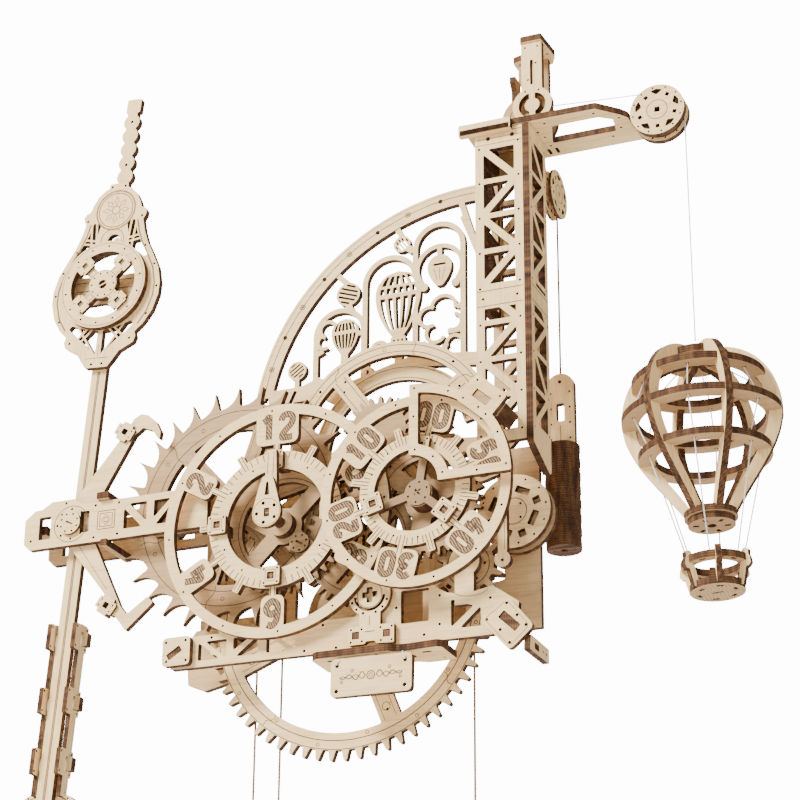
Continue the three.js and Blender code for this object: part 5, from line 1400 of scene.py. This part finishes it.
triangles = [[(-36, -55.2), (-26, -55.2), (-36, -47.4)], [(-33, -47.2), (-23, -47.2), (-23, -55)],
             [(-19, -55.2), (-9, -55.2), (-9, -47.4)], [(-20, -52.5), (-20, -47.2), (-12, -47.2)],
             [(-5, -55.2), (5, -55.2), (-5, -47.4)], [(-2, -47.2), (8, -47.2), (8, -55)]]
right_windows = [rect(54, -50, 66, -36.2), [(75.4, -54), (75.4, -42.3), (85, -46)],
                 [(79, -54.6), (88, -54.6), (88, -46.4)]]
lower = Sheet("lower_beam", "frame", near=FRONT)
lower.add(rounded(lower_outline(), 1.0)).cut(*soft(triangles + right_windows, 0.7, 3))
lower.add(bar((41, -48), IDLER, 6.4)).add(disc(IDLER, 3.9)).add(disc(WINDER, 6.5)).add(rect(77, -45, 85, -28))
lower.cut(disc(IDLER, 2.1)).cut(disc(WINDER, BORE))
lower.pins([(-30, -45.8), (-8, -45.9), (12, -56.4), (20, -46.4), (26, -56.6), (60, -35), (70.6, -52),
            (70.6, -40), (92, -43.6), (64, -55.6), (52, -43), (91.4, -52)], 1.0)
lower.line(arc((84, -28), 14, rad(215), rad(300)), 0.22, material=FAINT)
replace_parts(lower.build(), "front_beam_lower")
end_left = Sheet("end_plate_left", "frame", near=FRONT - PLY)
end_left.add(rounded(rect(-51, -57, -38.4, -44.8), 2))
end_left.cut(rounded(turned((-45.5, -51.5), 7, 2.8, rad(32)), 0.3, 2))
end_left.pins([(-49.4, -46.8), (-40, -55.2), (-40.4, -46.6), (-49, -55)], 1)
end_left.build()
peg("end_peg_left", (-45.5, -51.5), (6.4, 2.2), 32, FRONT - PLY + 0.5)

END_FACE = low("end_plate_right", 1)
end = Sheet("end_plate", "frame", near=END_FACE, face="slanted")
end.add(rounded([(88.9, -53.3), (100.2, -44.8), (111.2, -58.2), (100.9, -67.2)], 2.4))
end.cut(rounded(turned((101, -55.2), 9.6, 3.6, rad(-44)), 0.4, 2))
end.pins([(91.6, -53.6), (100, -47.8), (104.2, -53.2), (107.8, -57.6), (97.2, -58.4), (101, -64)], 1.1)
end.line(rounded([(90.6, -53.4), (100, -46.6), (109.2, -58.0), (101, -65.4)], 2.0), 0.2, True, FAINT)
end.build()
peg("end_peg_right", (101, -55.2), (9.0, 3.0), -44, END_FACE + 0.5)
prong = Sheet("end_prong", "frame", "yz", near=106.5, thick=2.6, face="upright")
prong.add(rounded([(behind(4.6), -61), (behind(26.2), -61), (behind(26.2), -67), (behind(3.4), -67.4)], 0.8))
prong.cut(rounded(rect(behind(9), -65.6, behind(14), -63), 0.4))
prong.pins([(behind(19), -64), (behind(23), -64)], 1.0)
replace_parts(prong.build(), "end_plate_right")

KEY_FACE = low("keyhole_bracket", 1)
KEY_AT, KEY_PEGS = (41.5, -37), ((35.6, -53.5), (49, -53.8))
key = Sheet("keyhole", "frame", near=KEY_FACE, thick=2.4, face="upright")
key.add(disc(KEY_AT, 9.0)).add(rounded(rect(37.2, -52, 46.2, -40), 0.4))
key.add(rounded([(32.4, -57.4), (39.4, -57.4), (40.4, -56.4), (43.8, -56.4), (44.8, -57.6), (52.2, -58),
                 (52.2, -50), (32.4, -49.8)], 0.7))
key.cut(sector(KEY_AT, 6.9, 5.7, rad(185), rad(355)))
for angle in (0, TAU / 4):
    key.cut(turned(KEY_AT, 6.4, 2.6, angle))
key.cut(*[square(spot, 3.1) for spot in KEY_PEGS])
key.pins([polar(KEY_AT, 8.0, rad(a)) for a in (200, 225, 250, 290, 315, 340, 20, 160)], 0.95)
key.pins([(33.6, -51), (33.6, -56.2), (38.2, -51.2), (38.4, -56.2), (46.4, -51.2), (51.2, -51.2),
          (46.6, -56.6), (51.2, -56.8)], 0.8)
key.line([(41.6, -46), (41.6, -50)], 0.24).line([(39.6, -52.4), (43.8, -52.4)], 0.3).circle(KEY_AT, 5.4, 0.22)
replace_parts(key.build(), "keyhole_bracket")
for number, spot in enumerate(KEY_PEGS, 1):
    peg(f"keyhole_peg_{number}", spot, (2.5, 2.5), 0, KEY_FACE + 0.4)

SHELF_LOW = low("beam_shelf", 2)
shelf = Sheet("shelf", "frame", "xy", near=SHELF_LOW)
shelf.add(rounded(level([(16.4, 4), (19, 2), (50, 2), (53, 4.4), (58, 4.8), (70, 3.6),
                   (72, 5), (72, 22), (60, 22.6), (56, 20), (46, 20), (42, 22.6),
                   (18, 22.6), (16.4, 20)]), 1.4))
shelf.cut(*[rounded(shape, 0.3, 2)
            for shape in (rect(28, behind(11), 40, behind(14)), rect(50, behind(11), 58, behind(14)),
                          rect(22, behind(6), 26, behind(7.6)), rect(62, behind(8), 66, behind(9.6)))])
shelf.pins(level([(20, 18), (68, 18), (44, 5), (47, 16)]), 1.0)
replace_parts(shelf.build(), "beam_shelf")
bearing = Sheet("minute_bearing", "frame", near=behind(16), face="upright")
bearing.add(rounded(rect(59.4, SHELF_LOW + 2, 69.4, -4), 0.8)).add(disc(MINUTE, 7)).cut(disc(MINUTE, BORE))
bearing.pins(ring_of(MINUTE, 5.4, 0, 8), 0.8).pins([(61, -12), (67.8, -12), (61, -30), (67.8, -30)], 0.9)
bearing.build()

# ---------------------------------------------------------------- beside the tower
PAWL_FACE = low("reel_pawl", 1)
pawl = Sheet("pawl", "frame", near=PAWL_FACE, face="upright")
pawl.add(rect(95.4, -28.4, 99.2, 9.2)).add(disc((97.2, -28.2), 3.4))
pawl.pins([(97.2, -28.6), (97.2, 6)], 1.1).line([(98.2, -24), (98.2, 5)], 0.22, material=FAINT)
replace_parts(pawl.build(), "reel_pawl")

# ---------------------------------------------------------------- sign
SIGN_AT, SIGN_TILT = (43, -70.9), rad(-0.7)
SIGN_FACE = low("sign_board", 1)
sign = Sheet("sign", "frame", near=SIGN_FACE)
sign.add(rounded(turned(SIGN_AT, 34.8, 15.6, SIGN_TILT), 2.2, 6))
corners = [(28.4, -65.7), (57.6, -66.2), (28.2, -76.2), (57.4, -76.4)]
sign.cut(*[disc(corner, 0.85) for corner in corners])
for sign_side in (-1, 1):
    wave = [(SIGN_AT[0] + sign_side * (2.4 + t * 0.55), SIGN_AT[1] + 1.9 * math.sin(t * 0.62) * (1 - t / 26))
            for t in range(21)]
    sign.line(wave, 0.32)
    sign.line([(x, SIGN_AT[1] - (z - SIGN_AT[1]) * 0.6) for x, z in wave], 0.24)
    sign.circle((SIGN_AT[0] + sign_side * 8.0, SIGN_AT[1] + 2.6), 0.6, 0.24)
    sign.circle((SIGN_AT[0] + sign_side * 12.6, SIGN_AT[1] - 1.8), 0.5, 0.24)
sign.circle(SIGN_AT, 1.7, 0.3).line(square(SIGN_AT, 1.4, TAU / 8), 0.26, True)
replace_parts(sign.build(), "sign_board")
for k, (hole, top) in enumerate(((corners[0], 30.6), (corners[1], 55.9)), 1):
    crown = high(f"sign_loop_{k}", 2)
    loop = [(hole[0], SIGN_FACE - 0.35, hole[1] + 0.2), (hole[0] + 0.1, SIGN_FACE - 0.5, hole[1] + 1.4),
            ((hole[0] + top) / 2, SIGN_FACE - 0.1, (hole[1] + crown) / 2), (top, behind(3.4), crown - 0.2),
            (top + 0.6, behind(5), crown - 0.4),
            ((hole[0] + top) / 2 + 1, SIGN_FACE + 3.2, (hole[1] + crown) / 2),
            (hole[0] + 0.3, SIGN_FACE + 3.4, hole[1] + 0.2)]
    tube(f"sign_thread_{k}", "frame", loop, THREAD_RADIUS, WHITE, f"sign_loop_{k}")

# ---------------------------------------------------------------- balloon
AXIS = Vector((BALLOON[0], BALLOON[1], 0))


def spun(angle):
    """Turns a piece drawn in the plane x, z about the balloon's own axis."""
    return SWAY @ Matrix.Translation(AXIS * MM) @ Matrix.Rotation(angle, 4, "Z")


def bezier(a, b, c, d, steps):
    return [((1 - t) ** 3 * a[0] + 3 * t * (1 - t) ** 2 * b[0] + 3 * t * t * (1 - t) * c[0] + t ** 3 * d[0],
             (1 - t) ** 3 * a[1] + 3 * t * (1 - t) ** 2 * b[1] + 3 * t * t * (1 - t) * c[1] + t ** 3 * d[1])
            for t in (k / steps for k in range(steps + 1))]


def level_disc(name, outer, inner, bottom, thick=PLY):
    # Level sheets are seen from below; their darker birch copy is painted shade on the undersides.
    made = Sheet(name, "balloon", "xy", near=bottom, thick=thick, face="painted_shade")
    made.add(disc(BALLOON, outer))
    if inner:
        made.cut(disc(BALLOON, inner))
    return made


rib = (bezier((2.0, 55.6), (20, 58.6), (32.4, 45), (32.4, 27.4), 22)
       + bezier((32.4, 27.4), (32.4, 11), (18, -1.6), (9.6, -16.4), 22)[1:]
       + [(5.4, -16.4)] + bezier((5.4, -16.4), (13, 0), (27, 12), (27, 26.6), 18)[1:]
       + bezier((27, 26.6), (27, 40), (18, 50), (4.6, 49.2), 14)[1:] + [(2.0, 50.6)])
for k in range(6):
    piece = Sheet(f"rib_{k + 1}", "balloon", near=-PLY / 2, face="upright")
    piece.add(rib)
    made = piece.build(spun(rib_turn(k)))
    if k == 0:
        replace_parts(made, "balloon_envelope")
crown = level_disc("crown_disc", 13.2, 0, CROWN_DISC)
crown.cut(*[turned(polar(BALLOON, 8.4, rib_turn(k)), 3.6, 1.7, rib_turn(k, 90)) for k in range(6)])
crown.pins([tuple(BALLOON)], 2.6)
crown.build(SWAY)
HOOPS = (("ring_high", 27.0, 20.0, HIGH_HOOP), ("ring_wide", 32.2, 25.2, WIDE_HOOP),
         ("ring_low", 26.6, 20.0, LOW_HOOP))
for name, outer, inner, bottom in HOOPS:
    hoop = level_disc(name, outer, inner, bottom)
    hoop.pins([polar(BALLOON, (outer + inner) / 2, rib_turn(k, 30)) for k in range(6)], 1.2)
    hoop.build(SWAY)
neck = level_disc("neck_disc", 10.6, 0, -16.6, 2.6)
neck.build(SWAY)
mouth = level_disc("neck_mouth", 9.4, 0, -19.4, 2.7)
mouth.cut(*[rounded(turned(polar(BALLOON, 6.2, rad(20 + 60 * k)), 2.4, 1.6, rad(20 + 60 * k)), 0.2, 2)
            for k in range(6)])
mouth.cut([polar(BALLOON, 1.9, TAU * k / 12) for k in range(12)])
mouth.build(SWAY)
knob = Sheet("crown_knob", "balloon", near=-1.2, thick=2.4, face="upright")
knob.add(rounded([(-1.0, 52), (1.0, 52), (0.8, 55.8), (1.7, 57.4), (-1.7, 57.4), (-0.8, 55.8)], 0.4))
knob.build(spun(0))

base = level_disc("basket_base", 10.8, 0, -47)
base.cut(*[rounded(turned(polar(BALLOON, 7.6, rad(50 + 60 * k)), 2.8, 1.5, rad(140 + 60 * k)), 0.2, 2)
           for k in range(6)])
base.cut(turned(BALLOON, 4.4, 1.1, 0))
for k in range(13):
    x = -9 + 1.5 * k
    half = math.sqrt(max(0, 10 ** 2 - x * x))
    for part in range(3):
        y0, y1 = -half + part * 2 * half / 3 + 0.5, -half + (part + 1) * 2 * half / 3 - 0.5
        slat = BALLOON[0] + x + (0.5 if part % 2 else 0)
        base.line([(slat, BALLOON[1] + y0), (slat, BALLOON[1] + y1)], 0.2, material=FAINT)
base.build(SWAY)
rail = level_disc("basket_rail", 13.4, 9.4, RAIL_LOW)
rail.cut(*[turned(polar(BALLOON, 12, rad(20 + 60 * k)), 1.2, 2.6, rad(20 + 60 * k)) for k in range(6)])
rail.build(SWAY)
post_shape = [(8.9, -46.4), (11.4, -46.4), (13.2, -39.2), (14.2, -39.4), (15.2, -38.0), (14.9, -35.6),
              (14.4, -34.4), (14.6, -32.4), (12.8, -31.8), (11.8, -32.6), (12.0, -35.0), (10.6, -39.0)]
for k in range(6):
    stake = Sheet(f"basket_post_{k + 1}", "balloon", near=-1.2, thick=2.4, face="upright")
    stake.add(rounded(post_shape, 0.5, 3))
    made = stake.build(spun(rad(50 + 60 * k)))
    if k == 0:
        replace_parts(made, "balloon_basket")

# ---------------------------------------------------------------- counterweight
WEIGHT_AT = WEIGHT_X, WEIGHT_Y = COUNTER_X, COUNTER_Y
WEIGHT_LOW = low("counterweight", 2)
DISCS, DISC_PITCH = 15, 3.07
stack = Sheet("weight_discs", "counterweight", "xy", near=WEIGHT_LOW, thick=2.9, face="end",
              slot="birch_edge")
stack.add(disc(WEIGHT_AT, 7.4))
stack.add(disc(WEIGHT_AT, 7.2), near=WEIGHT_LOW + 1, far=WEIGHT_LOW + DISCS * DISC_PITCH)
for k in range(1, DISCS):
    stack.add(disc((WEIGHT_X + 0.12 * (-1) ** k, WEIGHT_Y), 7.4), near=WEIGHT_LOW + k * DISC_PITCH,
              far=WEIGHT_LOW + k * DISC_PITCH + 2.9)
stack.cut(pin_hole(WEIGHT_AT, 1.6), pin_hole((WEIGHT_X + 4.4, WEIGHT_Y), 0.5),
          pin_hole((WEIGHT_X - 4.4, WEIGHT_Y), 0.5), near=WEIGHT_LOW - 1, far=WEIGHT_LOW + 2)
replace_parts(stack.build(), "counterweight")
WEIGHT_TOP = WEIGHT_LOW + DISCS * DISC_PITCH
yoke = Sheet("weight_hanger", "counterweight", near=WEIGHT_Y - PLY / 2, face="upright")
yoke.add(rounded(rect(WEIGHT_X - 6.2, WEIGHT_TOP - 0.2, WEIGHT_X + 6.2, 60), 0.4))
yoke.add(disc((WEIGHT_X, 59.6), 6.2))
yoke.cut(rounded(rect(WEIGHT_X - 1.7, 44, WEIGHT_X + 1.7, 52), 0.6)).cut(pin_hole((WEIGHT_X, 62), 0.8))
yoke.pins([(WEIGHT_X + s * 4.2, z) for s in (-1, 1) for z in (36, 43, 50, 57)], 0.85)
yoke.line([(WEIGHT_X, WEIGHT_TOP + 1), (WEIGHT_X, 42)], 0.24)
yoke.build()

# ---------------------------------------------------------------- wheels behind the dials
def plain_gear(name, body, centre, teeth, module, near, thick, windows_at=None):
    # Gears behind the dials are in the darker birch copy: painted shade.
    wheel = Sheet(name, body, near=near, thick=thick, face="painted_shade")
    wheel.add(gear(centre, teeth, module, 0.1))
    if windows_at:
        wheel.cut(*windows(centre, *windows_at))
        wheel.circle(centre, windows_at[0] + 1.6, 0.24)
    return wheel


def turning(centre, node_name, radius=ARBOR):
    """The arbor that runs through a wheel's own layers."""
    return [polar(centre, radius, TAU * k / 16) for k in range(16)], low(node_name, 1), high(node_name, 1)


minute = plain_gear("minute_train", "minute", MINUTE, 35, FINE, FRONT, 2.6, (18, 9, 3, rad(20), 8, 2))
outline_of, near_end, far_end = turning(MINUTE, "minute_wheel")
minute.add(outline_of, near=near_end + 1, far=far_end)
minute.add(gear(MINUTE, 12, TRAIN, 0), near=behind(12.4), far=behind(15))
minute.add(disc(MINUTE, 6), near=near_end + 1, far=behind(12.6))
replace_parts(minute.build(), "minute_wheel")
# The spider is in the darkest birch copy: painted shade.
spider = Sheet("minute_spider", "minute", near=near_end, thick=2.3, face="shade")
spider.add(disc(MINUTE, 5.6))
for angle in (195, 320, 80):
    spider.add(bar(MINUTE, polar(MINUTE, 20.7, rad(angle)), 3.4))
spider.cut(turned(MINUTE, 3.4, 0.9, rad(40)), turned(MINUTE, 0.9, 3.4, rad(40)))
spider.pins(ring_of(MINUTE, 4.3, 20, 6), 0.8)
spider.build()
idler = plain_gear("idler_train", "idler", IDLER, 36, TRAIN, behind(12.4), 2.6, (19, 8, 4, rad(45), 7, 2))
outline_of, near_end, far_end = turning(IDLER, "idler_wheel", 1.8)
idler.add(outline_of, near=near_end, far=far_end)
idler.add(gear(IDLER, 10, TRAIN, 0), near=behind(9.4), far=behind(12.5))
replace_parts(idler.build(), "idler_wheel")
hour = plain_gear("hour_train", "hour", HOUR, 40, TRAIN, behind(9.4), 2.6, (19.5, 8, 4, rad(45), 7, 2))
hour.add(disc(HOUR, 5.6), near=behind(5), far=behind(9.6)).cut(disc(HOUR, BORE))
hour.add(*[square(polar(HOUR, 26, TAU * k / 4), 4.6) for k in range(4)], near=behind(3.2), far=behind(9.6))
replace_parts(hour.build(), "hour_wheel")
winder = plain_gear("winder_gear", "winder", WINDER, 14, 1.9, behind(10.8), 4.6)
outline_of, near_end, far_end = turning(WINDER, "winding_pinion")
winder.add(outline_of, near=near_end, far=far_end)
winder.circle(WINDER, 9, 0.3).pins(ring_of(WINDER, 7, 0, 6), 1.0)
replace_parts(winder.build(), "winding_pinion")

# ---------------------------------------------------------------- CAD pieces that stay as they are
# Their darker birch copies are painted shade for pieces behind and between the others.
for name, axis, face in (("rear_frame", "y", "deep"), ("wall_bracket", "y", "deep"),
                         ("hour_bridge", "y", "painted_shade"), ("drive_weight", "y", "painted_shade"),
                         ("spacer_tip", "z", "painted_shade"), ("spacer_upper", "z", "painted_shade"),
                         ("spacer_lower", "z", "painted_shade")):
    dress(name, axis, face)

# ---------------------------------------------------------------- floor, air and lights
FLOOR_DROP = 0.62
floor_mesh = bpy.data.meshes.new("floor")
floor_mesh.from_pydata([(x, y, -FLOOR_DROP) for x, y in ((-9, -9), (9, -9), (9, 9), (-9, 9))], [],
                       [(0, 1, 2, 3)])
floor_material, floor_tree, floor_shader = new_material("floor_pale")
speck = noise(floor_tree, stretched(floor_tree, (1, 1, 1)), 3.0)
floor_tree.links.new(ramp(floor_tree, speck, [(0.3, (0.80, 0.80, 0.80)), (0.7, (0.84, 0.84, 0.84))]),
                     floor_shader.inputs["Base Color"])
floor_shader.inputs["Roughness"].default_value = 0.9
floor_mesh.materials.append(floor_material)
floor = bpy.data.objects.new("floor", floor_mesh)
bpy.context.collection.objects.link(floor)


LIGHTS_AIM = Vector((0.02, -0.03, 0.03))


def soft_light(name, place, size, power):
    data = bpy.data.lights.new(name, "AREA")
    data.shape = "DISK"
    data.size = size
    data.energy = power
    lamp = bpy.data.objects.new(name, data)
    bpy.context.collection.objects.link(lamp)
    lamp.matrix_world = (Matrix.Translation(Vector(place))
                         @ (LIGHTS_AIM - Vector(place)).to_track_quat("-Z", "Y").to_matrix().to_4x4())


soft_light("key", place=(-1.0, -1.7, 1.3), size=0.9, power=150)
soft_light("fill", place=(1.5, -1.5, 0.5), size=1.2, power=10)

BACKDROP_TOWARD = (-0.351, 0.847, 0.400)  # the white patch of air behind the object, as the camera looks
world = bpy.data.worlds.new("studio")
world.use_nodes = True
bpy.context.scene.world = world
sky = world.node_tree
background = sky.nodes["Background"]
direction = sky.nodes.new("ShaderNodeTexCoord")
toward = node(sky, "ShaderNodeVectorMath", operation="DOT_PRODUCT")
sky.links.new(direction.outputs["Generated"], toward.inputs[0])
toward.inputs[1].default_value = BACKDROP_TOWARD
glow = node(sky, "ShaderNodeMapRange")
for key, value in (("From Min", 0.88), ("From Max", 0.96), ("To Min", 0.36), ("To Max", 14.0)):
    glow.inputs[key].default_value = value
sky.links.new(toward.outputs["Value"], glow.inputs["Value"])
sky.links.new(glow.outputs["Result"], background.inputs["Strength"])
background.inputs["Color"].default_value = (1, 1, 1, 1)
